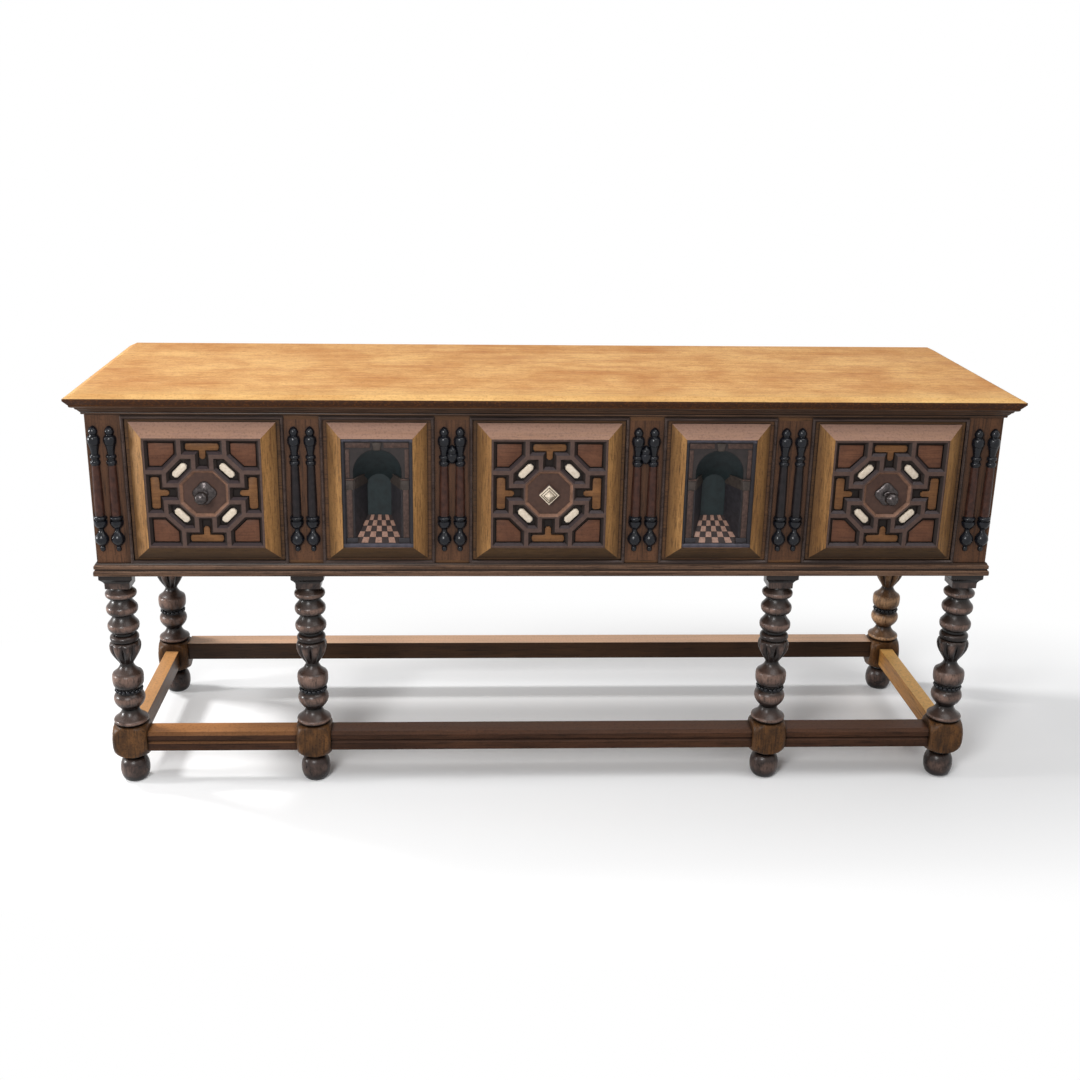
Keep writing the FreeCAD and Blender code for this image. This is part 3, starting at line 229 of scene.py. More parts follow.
    # Shade painted below a level: under the top's edge, and on the drawer fronts' field in the lattice's
    # joints.
    if shaded_below:
        axis, level, code = shaded_below
        under = add(tree, "ShaderNodeMath", {0: spot[axis], 1: level * MM}, operation="LESS_THAN")
        coats.append((under, code))
    specks = add(tree, "ShaderNodeMapRange",
                 {"Value": flecks, "From Min": 0.5, "From Max": 0.72, "To Max": fleck})
    coats.append((specks, dirt_and_shade))
    for share, code in coats:
        tone = add(tree, "ShaderNodeMix", {0: share.outputs[0], 6: tone, 7: colour(code)},
                   data_type="RGBA").outputs[2]
    # Shade painted into the corners, in the same dark colour as the pores and specks.
    tone = painted_corner_shade(tree, tone, dirt_and_shade, shade_reach, (0.25, 0.92), samples=8)
    bump = add(tree, "ShaderNodeBump", {"Strength": 0.35, "Distance": 0.4 * MM, "Height": pores},
               invert=True).outputs[0]
    finish_material(tree, tone, streak, gloss, shine, Normal=bump)
    return material


# The lattice's octagon: its half width with its ring, and where the ring's inner edge fades.
OCTAGON_HALF = 46
OCTAGON_EDGE = (40, 41.5)


def lattice_wood():
    """Stained fruitwood strips, painted by which way they face: paler on the crests that face the front,
    near black as shade on the slopes and a little lighter, as if lit, on the slopes that face up; the
    middle octagon a redder brown.
    """
    material, tree, place = new_material("stained fruitwood lattice")
    specks = add(tree, "ShaderNodeTexNoise",
                 {"Vector": place, "Scale": 1 / (7 * MM), "Detail": 4.0}).outputs[0]
    normal = add(tree, "ShaderNodeNewGeometry").outputs["Normal"]
    facing = add(tree, "ShaderNodeSeparateXYZ", {0: normal}).outputs
    # Painted light and shade by facing: crests paler, slopes dark as shade, upward slopes lighter as lit.
    crest = add(tree, "ShaderNodeMapRange",
                {"Value": facing["Y"], "From Min": -0.8, "From Max": -0.98}).outputs[0]
    lit_slope_share = add(tree, "ShaderNodeMapRange",
                {"Value": facing["Z"], "From Min": 0.15, "From Max": 0.6}).outputs[0]
    slope = add(tree, "ShaderNodeMix", {0: lit_slope_share, 6: colour("#1c130f"), 7: colour("#33282a")},
                data_type="RGBA").outputs[2]
    strip = add(tree, "ShaderNodeMix", {0: crest, 6: slope, 7: colour("#523f38")},
                data_type="RGBA").outputs[2]
    over, up = from_middle(tree, place, 0)
    total = add(tree, "ShaderNodeMath", {0: over, 1: up}).outputs[0]
    slant = add(tree, "ShaderNodeMath", {0: total, 1: 0.7071}, operation="MULTIPLY").outputs[0]
    flat = add(tree, "ShaderNodeMath", {0: over, 1: up}, operation="MAXIMUM").outputs[0]
    reach = add(tree, "ShaderNodeMath", {0: flat, 1: slant}, operation="MAXIMUM").outputs[0]
    middle = add(tree, "ShaderNodeMath", {0: reach, 1: OCTAGON_HALF * MM},
                 operation="LESS_THAN").outputs[0]
    edge = add(tree, "ShaderNodeMapRange", {"Value": reach, "From Min": OCTAGON_EDGE[0] * MM,
                                            "From Max": OCTAGON_EDGE[1] * MM}).outputs[0]
    octagon = add(tree, "ShaderNodeMix", {0: edge, 6: colour("#4a342b"), 7: colour("#84624f")},
                  data_type="RGBA").outputs[2]
    tone = add(tree, "ShaderNodeMix", {0: middle, 6: strip, 7: octagon}, data_type="RGBA").outputs[2]
    dark = add(tree, "ShaderNodeMapRange",
               {"Value": specks, "From Min": 0.35, "From Max": 0.7, "To Max": 0.4}).outputs[0]
    tone = add(tree, "ShaderNodeMix", {0: dark, 6: tone, 7: colour("#2a1d1a")},
               data_type="RGBA").outputs[2]
    tone = painted_corner_shade(tree, tone, "#150e0b", 8, (0.25, 0.8), samples=6)
    finish_material(tree, tone, specks, gloss=(0.4, 0.58), shine=0.25)
    return material


def speckled(name, base, spot, dirt_and_shade, grit, gloss, bump=0.2, metallic=0.0, shine=0.5):
    """A close-grained material: a base colour with soft spots of a second one, and shade painted into its
    corners. grit is the spots' size in millimetres."""
    material, tree, place = new_material(name)
    grain = add(tree, "ShaderNodeTexNoise", {"Vector": place, "Scale": 1 / (grit * MM),
                                             "Detail": 4.0, "Roughness": 0.6}).outputs[0]
    mixed = add(tree, "ShaderNodeMapRange",
                {"Value": grain, "From Min": 0.35, "From Max": 0.68}).outputs[0]
    tone = add(tree, "ShaderNodeMix", {0: mixed, 6: colour(base), 7: colour(spot)},
               data_type="RGBA").outputs[2]
    tone = painted_corner_shade(tree, tone, dirt_and_shade, 6, (0.2, 0.7), samples=6)
    dent = add(tree, "ShaderNodeBump",
               {"Strength": bump, "Distance": 0.5 * MM, "Height": grain}).outputs[0]
    finish_material(tree, tone, grain, gloss, shine, Normal=dent, Metallic=metallic)
    return material


# Oak of the top: bleached and waxed to a golden orange, in boards along its length, with shade painted
# dark below a line on its edge.
TOP_SHADE_LINE = TOP_LEVEL - 6.8
TOP_OAK = oak("waxed golden oak top", "#a9662a", "#f0c382", "#8a5424", figure=(14, 150),
              pore=(2.6, 18), patch=110, gloss=(0.52, 0.68), shine=0.1, boards=180,
              shaded_below=("Z", TOP_SHADE_LINE, "#3a251a"), mottle=0.5, fleck=0.4, pitted=0.5,
              across=(FRONT - 30, FRONT + 60, "#e6c584", 0.35))
# Oak of the case: brown from old wax, the grain along each piece.
CASE_OAK = oak("waxed brown oak", "#402a1b", "#6e4c30", "#120d0b", mottle=0.35)
CASE_UPRIGHT = oak("waxed brown oak upright", "#3b271b", "#684630", "#0d0a09", grain="z",
                   mottle=0.35, shade_reach=30, fleck=0.4)
CASE_END = oak("waxed brown oak end", "#402a1b", "#6e4c30", "#120d0b", grain="y", mottle=0.35)
# The drawer fronts are painted near black where they stand more than 6 mm in front of the front rail:
# shade painted into the joints and hollows round the lattice's strips, veneers and bone bars.
DRAWER_OAK = oak("waxed brown oak drawer front", "#3d2919", "#66472a", "#120d0b",
                 shaded_below=("Y", FRONT - 6, "#1a110d"))
# Oak of the bevelled frames: golden by the inner edge and darker towards the outer edge, which lies
# further back, with a pinkish sheen painted on the slopes that face up and shade painted on those that
# face down. A panel is its middle's offset and its half sizes.
_, (NICHE_RIGHT, _, _) = corners("niche_recesses")
DRAWER_PANEL = (0, LATTICE_X, LATTICE_Z)
NICHE_PANEL = (BAY_PITCH / 2, NICHE_RIGHT - BAY_PITCH / 2, LATTICE_Z)
FRAME_GRAIN_AND_SHADING = dict(across=(FRONT - 3, FRONT - 16, "#51371f", 0.8), lit_upward=(0.2, 0.5, "#9a796b", 0.85),
                  shaded_downward=(-0.2, -0.5, "#1e130a", 0.9), figure=(9, 160), pore=(2.2, 26), fleck=0.3)
DRAWER_FRAME = oak("golden oak drawer frame", "#64401f", "#b28550", "#1d1410", mitre=DRAWER_PANEL,
                   **FRAME_GRAIN_AND_SHADING)
NICHE_FRAME = oak("golden oak niche frame", "#64401f", "#b28550", "#1d1410", mitre=NICHE_PANEL,
                  **FRAME_GRAIN_AND_SHADING)
# Dark polished oak of the mouldings and stretchers. The mouldings are painted dark as shade in their
# hollows and paler on their crests, partly from wear and partly as a painted highlight. Light is painted
# on the stretchers' tops: pale on the left front stretcher, the back one and the left end one, with a
# paler copy painted as lit for the right end one, while the other front stretchers' tops are only a
# little lighter, as in shade.
MOULDING_OAK = oak("dark polished oak moulding", "#35241a", "#5a402e", "#0d0908", gloss=(0.3, 0.46),
                   shade_reach=10, crest_wear_and_shading=("#140e0b", "#846754"), fleck=0.35)
BEAD_OAK = oak("dark polished oak bead", "#261d1b", "#52433d", "#0a0808", gloss=(0.28, 0.44), shade_reach=8)
LEVEL = (0.6, 0.9)
FRONT_WAX = dict(gloss=(0.38, 0.54), shine=0.1, shade_reach=10, fleck=0.4)
FRONT_STRETCHER = oak("dark polished oak front stretcher", "#261812", "#523626", "#0d0908",
                      lit_upward=(*LEVEL, "#5a3c2b", 0.85), **FRONT_WAX)
# Its top is painted pale, as lit.
LIT_FRONT_STRETCHER = oak("oak front stretcher painted lit on top", "#261812", "#523626", "#0d0908",
                       lit_upward=(*LEVEL, "#b67c4b", 0.9), **FRONT_WAX)
# Its top is painted pale, as lit.
BACK_STRETCHER = oak("dark polished oak back stretcher", "#271912", "#47301f", "#100b0a",
                     gloss=(0.3, 0.46), lit_upward=(*LEVEL, "#e2b592", 0.95), fleck=0.3)
END_STRETCHER = oak("dark polished oak end stretcher", "#4f331c", "#80562f", "#140e0b", grain="y",
                    gloss=(0.3, 0.46), lit_upward=(*LEVEL, "#e0a468", 0.9), fleck=0.3)
# A paler copy of the end stretcher's oak, painted as lit.
LIT_END_STRETCHER = oak("oak end stretcher painted as lit", "#8a5a2b", "#c08a48", "#2a1b10", grain="y",
                         gloss=(0.36, 0.5), lit_upward=(*LEVEL, "#f2bd70", 0.9), fleck=0.4)
# Turned oak of the legs: painted near black as shade in the hollows, a greyed tan on the crests, partly
# rubbed and partly a painted highlight, lighter as if lit on the slopes that face up and painted dark as
# shade on those that face down, and orange on the blocks. The rear right leg has a paler copy above its
# block, painted as lit.
TURNED = dict(grain="z", figure=(30, 40), pore=(2.6, 16), fleck=0.35)
LEG_OAK = oak("turned dark oak", "#191210", "#362824", "#080606", gloss=(0.24, 0.38), shine=0.3,
              crest_wear_and_shading=("#0a0807", "#80665a"), shade_reach=18, lit_upward=(0.2, 0.8, "#5c4940", 0.45),
              shaded_downward=(-0.15, -0.6, "#0a0707", 0.9), **TURNED)
# A paler copy of the legs' oak, painted as lit, for the rear right leg above its block.
LIT_LEG = oak("turned oak painted as lit", "#46301f", "#76563b", "#0b0807", gloss=(0.3, 0.44),
                   shine=0.25, crest_wear_and_shading=("#180f0a", "#c49a74"), shade_reach=14, **TURNED)
BLOCK_OAK = oak("worn oak block", "#24160c", "#6f4a28", "#0a0706", grain="z", figure=(11, 40),
                patch=30, gloss=(0.34, 0.5), fleck=0.6)
# Dry unpolished oak inside the case and at its back: pale and dull, with few specks.
DRY = dict(gloss=(0.6, 0.75), shine=0.2, fleck=0.12, pitted=0.25)
PLAIN_OAK = oak("dry oak", "#85643f", "#ab8a5f", "#3d2c1c", **DRY)
PLAIN_SIDE = oak("dry oak side", "#85643f", "#ab8a5f", "#3d2c1c", grain="y", **DRY)
PLAIN_UPRIGHT = oak("dry oak upright", "#6b4c2f", "#8f6d48", "#33241a", grain="z", **DRY)
LATTICE_WOOD = lattice_wood()
# Veneers let in between the strips: a red hardwood in the corners, a browner one in the T shapes.
VENEER = dict(figure=(7, 40), patch=40, gloss=(0.4, 0.55), shade_reach=11, pitted=0.25)
RED_VENEER = oak("red hardwood veneer", "#4f3124", "#6f4935", "#120b0a", **VENEER)
TAN_VENEER = oak("tan hardwood veneer", "#5c3d26", "#855c38", "#140c0a", **VENEER)
# Ebonised turnings: black stained and polished, with a faint blue sheen painted into the black. Most
# shafts have worn brown.
EBONISED = speckled("ebonised pear wood", "#0a0b10", "#15171e", "#040405", grit=9, gloss=(0.2, 0.32),
                    bump=0.02, shine=0.28)
SHAFT = dict(grit=12, gloss=(0.28, 0.42), bump=0.03, shine=0.22)
DARK_SHAFT = speckled("ebonised shaft", "#131012", "#221c1e", "#060505", **SHAFT)
WORN_SHAFT = speckled("worn ebonised shaft", "#2c1914", "#472b21", "#070505", **SHAFT)
# Aged bone: cream with a faint grey vein, satin. The tiles' bone is stained to a dull pink.
BONE = speckled("aged bone", "#dfd1be", "#ccbba5", "#54442f", grit=5, gloss=(0.32, 0.46), bump=0.1)
TILE_BONE = speckled("stained bone tile", "#a07c6c", "#80604f", "#2a1d19", grit=5, gloss=(0.4, 0.55),
                     bump=0.1)
# Forged iron: blacked, with greyer spots from handling, and shade painted into its corners.
IRON = speckled("blacked wrought iron", "#332f2f", "#544e4d", "#0a0809", grit=4, gloss=(0.24, 0.4),
                bump=0.3, metallic=0.9)
# Stained wood of the niches' facades: brown strips, near-black walls inside and grey-brown imposts.
FACADE = dict(gloss=(0.5, 0.65), shine=0.25)
NICHE_STRIP = speckled("stained niche strip", "#362823", "#523e37", "#0e0a09", grit=6, **FACADE)
NICHE_BAND = speckled("dark niche band", "#232123", "#333034", "#080707", grit=8, **FACADE)
NICHE_IMPOST = speckled("grey brown niche impost", "#332c28", "#453c37", "#0b0908", grit=8, **FACADE)


def niche_paint():
    """Paint of the niches: black green inside the arch, brown black on its face and floor, plum black
    at the sides of the border and grey above and below."""
    material, tree, place = new_material("black green paint")
    cloud = add(tree, "ShaderNodeTexNoise",
                {"Vector": place, "Scale": 1 / (14 * MM), "Detail": 4.0}).outputs[0]
    depth = add(tree, "ShaderNodeSeparateXYZ", {0: place}).outputs["Y"]
    normal = add(tree, "ShaderNodeNewGeometry").outputs["Normal"]
    slope = add(tree, "ShaderNodeSeparateXYZ", {0: normal}).outputs["Z"]
    over, up = from_middle(tree, place, BAY_PITCH / 2)
    tone = colour("#1d2527")
    # The slope is in thousandths, as the lengths are.
    for reading, start, full, code in (
            (depth, NICHE_LEVEL + 30, NICHE_LEVEL + 46, "#182325"),
            (depth, NICHE_LEVEL + 2, NICHE_LEVEL, "#292221"), (slope, 300, 500, "#322725"),
            (over, 61, 61.6, "#232025"), (up, 102.6, 103.2, "#4a4750")):
        share = add(tree, "ShaderNodeMapRange",
                    {"Value": reading, "From Min": start * MM, "From Max": full * MM}).outputs[0]
        tone = add(tree, "ShaderNodeMix", {0: share, 6: tone, 7: colour(code)},
                   data_type="RGBA").outputs[2]
    worn = add(tree, "ShaderNodeMapRange",
               {"Value": cloud, "From Min": 0.4, "From Max": 0.7, "To Max": 0.5}).outputs[0]
    tone = add(tree, "ShaderNodeMix", {0: worn, 6: tone, 7: colour("#0a0b0c")},
               data_type="RGBA").outputs[2]
    finish_material(tree, tone, cloud, gloss=(0.5, 0.65), shine=0.3)
    return material


NICHE_PAINT = niche_paint()


def new_piece(name, mesh, materials, body, replaces=()):
    """Puts a finished mesh in the scene and ties it to the body that carries it."""
    mesh.name = name
    piece = bpy.data.objects.new(name, mesh)
    for material in materials:
        mesh.materials.append(material)
    bpy.context.scene.collection.objects.link(piece)
    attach(piece, body)
    if replaces:
        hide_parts(*replaces)


def mesh_from(form, smooth_angle=40):
    """Closes a bmesh into a mesh with its faces outwards, smooth up to an angle between faces."""
    bmesh.ops.remove_doubles(form, verts=form.verts, dist=1e-6)
    bmesh.ops.recalc_face_normals(form, faces=form.faces)
    for face in form.faces:
        face.smooth = True
    limit = math.radians(smooth_angle)
    for edge in form.edges:
        edge.smooth = len(edge.link_faces) == 2 and edge.calc_face_angle(0) < limit
    mesh = bpy.data.meshes.new("piece")
    form.to_mesh(mesh)
    form.free()
    return mesh


def add_rings(form, rings, material=None):
    """Skins a stack of rings and closes both ends. material gives an index for each gap."""
    rows = [[form.verts.new(Vector(point) * MM) for point in ring] for ring in rings]
    count = len(rows[0])
    for gap, (low, high) in enumerate(zip(rows, rows[1:])):
        for index in range(count):
            after = (index + 1) % count
            face = form.faces.new((low[index], low[after], high[after], high[index]))
            if material:
                face.material_index = material[gap]
    for end in (0, -1):
        face = form.faces.new(rows[end])
        if material:
            face.material_index = material[end]
    return rows


def swell(low, high, neck, crest, top_neck, steps, crest_peak=1):
    """A turned bead from one height to another: (height, radius, crest measure) round half an ellipse."""
    points = []
    for step in range(steps + 1):
        angle = math.pi * step / steps
        side = neck if step <= steps / 2 else top_neck
        height = (low + high) / 2 - math.cos(angle) * (high - low) / 2
        points.append((height, side + (crest - side) * math.sin(angle), math.sin(angle) * crest_peak))
    return points


def saucer(low, high, neck, crest):
    """A turned ring, full and rounded below and dished to the neck above: (height, radius, crest measure).
    """
    shape = ((0, 0, 0.1), (0.05, 0.42, 0.4), (0.12, 0.7, 0.6), (0.22, 0.91, 0.75), (0.34, 1, 0.9),
             (0.45, 0.99, 1), (0.53, 0.9, 0.8), (0.59, 0.75, 0.35), (0.7, 0.46, 0.12),
             (0.82, 0.2, 0.05), (0.92, 0.05, 0), (1, 0, 0))
    return [(low + (high - low) * rise, neck + (crest - neck) * reach, crest_measure)
            for rise, reach, crest_measure in shape]


# The leg's outline from the floor up, in (height, radius, crest measure). Where it stays square, on the
# block and the capital, each ring is cut off at a half width as well.
FOOT = ([(0, 16, 0.2)] + swell(0.5, 53, 18, 30, 17, 14, 0.7)
        + [(56, 16, 0), (60.5, 17, 0), (61.5, 22, 0.1)])
BLOCK_TOP = 131
BLOCK = [(62, 30, 0.3), (63.5, 35.5, 0.4), (67, 39, 0.5), (72, 42, 0.5), (78, 44.4, 0.5),
         (86, 45.8, 0.5), (97, 46.2, 0.5), (107, 45.8, 0.5), (115, 44.4, 0.5), (121, 42, 0.5),
         (126, 39, 0.5), (129.5, 35.5, 0.4), (BLOCK_TOP, 30, 0.3)]
SPINDLE = (
    [(131.2, 29, 0.1), (133, 32.6, 0.4), (136, 34.6, 0.8), (139, 35, 1), (141.6, 33.8, 0.8),
     (143.4, 31, 0.5), (147, 26.4, 0.45), (152, 21.8, 0.4), (157, 18.8, 0.2), (162, 17.6, 0),
     (164, 18.6, 0.1), (168, 22.4, 0.35), (173, 26.6, 0.6), (179, 30, 0.8), (185, 31.5, 0.95),
     (190, 31.2, 1), (194.4, 29.6, 0.7), (197.6, 27.2, 0.3), (200, 24.4, 0), (211.5, 24.4, 0),
     (212.4, 26, 0.2), (214.6, 28.4, 0.5), (219, 30.4, 0.7), (225, 31.4, 0.85), (233, 31.6, 1),
     (239.5, 31, 1), (243, 29.4, 0.8), (245, 26.6, 0.5), (248, 22.8, 0.45), (252, 18.8, 0.4),
     (257, 15.4, 0.2), (261, 13.6, 0), (264, 13.6, 0.2), (268, 16, 0.4), (275, 21, 0.6),
     (283, 26, 0.7), (291, 29.8, 0.8), (299, 31.6, 0.8), (306, 31.6, 0.7), (310.5, 30, 0.4),
     (313, 27, 0)]
    + swell(314, 329, 24.5, 29, 20.5, 8, 0.35)
    + saucer(333, 371, 20, 31.5) + saucer(371, 407, 20, 31.3) + saucer(407, 432.5, 20, 31))
CAPITAL = [(433, 23, 0.1, 24), (433.6, 34, 0.65, 25), (445, 34.5, 0.65, 25.2), (448.5, 37, 0.2, 26.4),
           (452, 42, 0.1, 29), (455.5, 46, 0.1, 32.6), (456.2, 46.4, 0.3, 33), (466, 46.4, 0.1, 33)]
ROUND = 1000
BLOCK_HALF = 35
LEG_STACK = ([(*point, ROUND) for point in FOOT] + [(*point, BLOCK_HALF) for point in BLOCK]
             + [(*point, ROUND) for point in SPINDLE] + CAPITAL)
LEG_SIDES = 80
CUP_LOW, CUP_HIGH = 262, 313
CUP_LOBES = 8
CUP_CARVING = 0.26
LEG_INSET = 32
CORNER_LEG = CASE_HALF - LEG_INSET
FRONT_LEGS = [(x, FRONT + LEG_INSET) for x in (-CORNER_LEG, -OUTER_MUNTIN, OUTER_MUNTIN, CORNER_LEG)]
REAR_LEGS = [(x, BACK - LEG_INSET) for x in (-CORNER_LEG, CORNER_LEG)]


def make_legs(name, centres, node, lit_leg_x=None):
    """Turned legs, round except where the block and capital stay square, the cup carved in lobes.
    The leg at the X given has light painted on it above the block, in a paler copy of the leg's oak."""
    form = bmesh.new()
    crest_measures = []
    for x, y in centres:
        rings = []
        for height, radius, crest_measure, half in LEG_STACK:
            ring = []
            for side in range(LEG_SIDES):
                angle = 2 * math.pi * side / LEG_SIDES
                widest = max(abs(math.cos(angle)), abs(math.sin(angle)))
                reach = min(radius, half / widest)
                worn = crest_measure
                if CUP_LOW < height < CUP_HIGH:
                    fullness = math.sin(math.pi * (height - CUP_LOW) / (CUP_HIGH - CUP_LOW))
                    carved = fullness * (1 - abs(math.sin(CUP_LOBES * angle / 2)) ** 0.7)
                    reach *= 1 - CUP_CARVING * carved
                    worn *= 1 - carved
                ring.append((x + reach * math.cos(angle), y + reach * math.sin(angle), height))
                crest_measures.append(worn)
            rings.append(ring)
        finishes = []
        for low, high in zip(LEG_STACK, LEG_STACK[1:]):
            squared = max(low[3], high[3]) <= BLOCK_HALF and low[0] < BLOCK_TOP
            finishes.append(1 if squared else 2 * int(x == lit_leg_x and low[0] >= BLOCK_TOP))
        add_rings(form, rings, material=finishes)
    form.verts.ensure_lookup_table()
    layer = form.verts.layers.float.new("crest_measure")
    for vertex, crest_measure in zip(form.verts, crest_measures):
        vertex[layer] = crest_measure
    materials = [LEG_OAK, BLOCK_OAK] + [LIT_LEG] * (lit_leg_x is not None)
    new_piece(name, mesh_from(form), materials, "carcase", [node])


make_legs("front_legs_turned", FRONT_LEGS, "front_legs")
make_legs("rear_legs_turned", REAR_LEGS, "rear_legs", lit_leg_x=CORNER_LEG)


def pearl_tree():
    """A ring of beads round each point of a mesh: their number and size and the ring's radius are
    inputs."""
    tree = bpy.data.node_groups.new("pearl rings", "GeometryNodeTree")
    tree.interface.new_socket("Geometry", in_out="INPUT", socket_type="NodeSocketGeometry")
    sockets = {}
    for label, kind in (("Beads", "NodeSocketInt"), ("Ring radius", "NodeSocketFloat"),
                        ("Bead radius", "NodeSocketFloat"), ("Finish", "NodeSocketMaterial")):
        socket = tree.interface.new_socket(label, in_out="INPUT", socket_type=kind)
        sockets[label] = socket.identifier
    tree.interface.new_socket("Geometry", in_out="OUTPUT", socket_type="NodeSocketGeometry")
    given = add(tree, "NodeGroupInput").outputs
    ring = add(tree, "GeometryNodeMeshCircle",
               {"Vertices": given["Beads"], "Radius": given["Ring radius"]})
    rings = add(tree, "GeometryNodeInstanceOnPoints",
                {"Points": given["Geometry"], "Instance": ring.outputs[0]})
    spots = add(tree, "GeometryNodeRealizeInstances", {0: rings.outputs[0]})
    bead = add(tree, "GeometryNodeMeshIcoSphere", {"Radius": given["Bead radius"], "Subdivisions": 2})
    beads = add(tree, "GeometryNodeInstanceOnPoints",
                {"Points": spots.outputs[0], "Instance": bead.outputs[0]})
    whole = add(tree, "GeometryNodeRealizeInstances", {0: beads.outputs[0]})
    smooth = add(tree, "GeometryNodeSetShadeSmooth", {0: whole.outputs[0]})
    finished = add(tree, "GeometryNodeSetMaterial",
                   {"Geometry": smooth.outputs[0], "Material": given["Finish"]})
    add(tree, "NodeGroupOutput", {0: finished.outputs[0]})
    return tree, sockets


PEARL_HEIGHT = 206


def make_pearls():
    """The beaded collar between the two balls of every leg."""
    tree, sockets = pearl_tree()
    points = bpy.data.meshes.new("pearl spots")
    points.from_pydata([(x * MM, y * MM, PEARL_HEIGHT * MM) for x, y in FRONT_LEGS + REAR_LEGS], [], [])
    seed = bpy.data.objects.new("pearl spots", points)
    bpy.context.scene.collection.objects.link(seed)
    modifier = seed.modifiers.new("pearls", "NODES")
    modifier.node_group = tree
    for label, setting in (("Beads", 18), ("Ring radius", 24.6 * MM), ("Bead radius", 4.4 * MM),
                           ("Finish", EBONISED)):
        modifier[sockets[label]] = setting
    shown = seed.evaluated_get(bpy.context.evaluated_depsgraph_get())
    mesh = bpy.data.meshes.new_from_object(shown)
    bpy.data.objects.remove(seed)
    mesh.materials.clear()
    new_piece("leg_pearls", mesh, [EBONISED], "carcase")


make_pearls()

# Outlines of the split turnings from their lowest points up, in (height, radius), with a crest measure
# that isn't read where they swell. A baluster's shaft lies between two heights.
BALUSTER = (
    [(0, 1.5)] + swell(0.5, 10, 2.5, 5.2, 3.8, 8)
    + [(10.5, 3.8), (14, 8), (19, 12), (25, 13.8), (31, 12.8), (36, 9.4), (40, 6.2), (43, 5), (46, 5),
       (47, 5.4), (50, 9.2), (55, 12.2), (60, 13.3), (63.5, 13.1), (64, 10.4), (65.5, 10.4)]
    + swell(65.8, 73, 10, 13.2, 9.4, 6)
    + [(74, 9.4), (80, 9.6), (115, 9.4), (150, 8.6), (175.5, 8)]
    + swell(177, 185.5, 8, 10.2, 7.4, 6) + [(186.5, 7.2), (188, 7.2)]
    + swell(189, 197, 7.4, 10.2, 6.8, 6) + [(198, 6.8), (204, 7.6), (213, 9.6), (216, 10.4)]
    + swell(216.5, 235, 10, 12.5, 7, 10)
    + [(236, 6.8), (239, 8.6), (243, 9.2), (248, 7), (251.5, 3.6), (253, 1.2)])
SHAFT_SPAN = (74, 175.5)
ACORN = [(0, 2), (1, 4.6), (4, 7.6), (9, 10.4), (14, 12), (18, 12.2), (20.5, 11.4), (21.2, 9.6),
         (23, 9.4), (26, 10.2), (29, 9.6), (32, 7), (35, 4), (37, 1.6)]
(_, _, BALUSTER_LOW), _ = corners("split_balusters")
ACORN_LOW = 697
HALF_TURN_STEPS = 14
# Each pair's distance from the dresser's middle and the finish of its shafts, and half the step between
# the two of a pair.
CORNER_PAIR = CASE_HALF - 29.5
PAIRS = ((INNER_MUNTIN, 2), (OUTER_MUNTIN, 1), (CORNER_PAIR, 2))
PAIR_STEP = 15.5


def make_split_turnings():
    """Turned in pairs and sawn apart, so flat behind: black at both ends, most pairs brown between."""
    form = bmesh.new()

    def half_turned(outline, x, low, shaft=(0, 0), worn=1):
        """Half a turning against the front, its shaft in a finish of its own."""
        rings = []
        for height, radius, *_ in outline:
            ring = []
            for step in range(HALF_TURN_STEPS + 1):
                angle = math.pi * step / HALF_TURN_STEPS
                ring.append((x + radius * math.cos(angle), FRONT - radius * math.sin(angle), low + height))
            rings.append(ring)
        kinds = [worn * int(shaft[0] <= start[0] and stop[0] <= shaft[1])
                 for start, stop in zip(outline, outline[1:])]
        add_rings(form, rings, material=kinds)

    for middle, worn in PAIRS:
        for side in (-1, 1):
            for step in (-PAIR_STEP, PAIR_STEP):
                half_turned(BALUSTER, side * middle + step, BALUSTER_LOW, SHAFT_SPAN, worn)
    for side in (-1, 1):
        half_turned(ACORN, side * INNER_MUNTIN, ACORN_LOW)
    new_piece("split_balusters_turned", mesh_from(form), [EBONISED, DARK_SHAFT, WORN_SHAFT],
              "carcase", ["split_balusters"])


make_split_turnings()


def make_case_moulding(name, node, section):
    """A moulding run along the front and both ends of the case, mitred at its corners. The section is
    (reach out from the case, height, crest measure), drawn upwards."""
    form = bmesh.new()
    layer = form.verts.layers.float.new("crest_measure")
    corners = ((-CASE_HALF, BACK, -1, 0), (-CASE_HALF, FRONT, -1, -1), (CASE_HALF, FRONT, 1, -1),
               (CASE_HALF, BACK, 1, 0))
    rings = [[(x + over * reach, y + ahead * reach, height) for reach, height, _ in section]
             for x, y, over, ahead in corners]
    for row in add_rings(form, rings):
        for vertex, (_, _, crest_measure) in zip(row, section):
            vertex[layer] = crest_measure
    new_piece(name, mesh_from(form, 25), [MOULDING_OAK], "carcase", [node])


make_case_moulding("cornice_run", "cornice_moulding", [
    (0, 793, 0), (3.6, 793, 0.1), (4.7, 794, 0.6), (5, 795.6, 0.6), (4.6, 797, 0), (5.8, 798, 0.1),
    (7.5, 800, 0.35), (8.8, 801.4, 0.5), (9.2, 802.6, 0.1), (11.6, 804, 0.3), (13.2, 805.8, 0.65),
    (13.6, 807.8, 0.1), (16.6, 808.4, 0.2), (19.4, 809.4, 0.4), (21.2, 811, 0.7), (21.9, 812.9, 0.2),
    (0, 812.9, 0)])
make_case_moulding("base_run", "base_moulding", [
    (0, 466, 0), (6.6, 466, 0.4), (7.6, 467, 0.8), (8, 470, 0.7), (7.8, 474, 0.7), (7, 476.4, 1),
    (5, 477.4, 0.3), (4.6, 479.6, 0), (6, 480.2, 0.5), (6.6, 482, 0.7), (6.6, 486, 0.7), (6, 487.6, 1),
    (4.6, 488.6, 0.5), (3.6, 490.4, 0.2), (3, 492, 0.2), (0, 492, 0)])


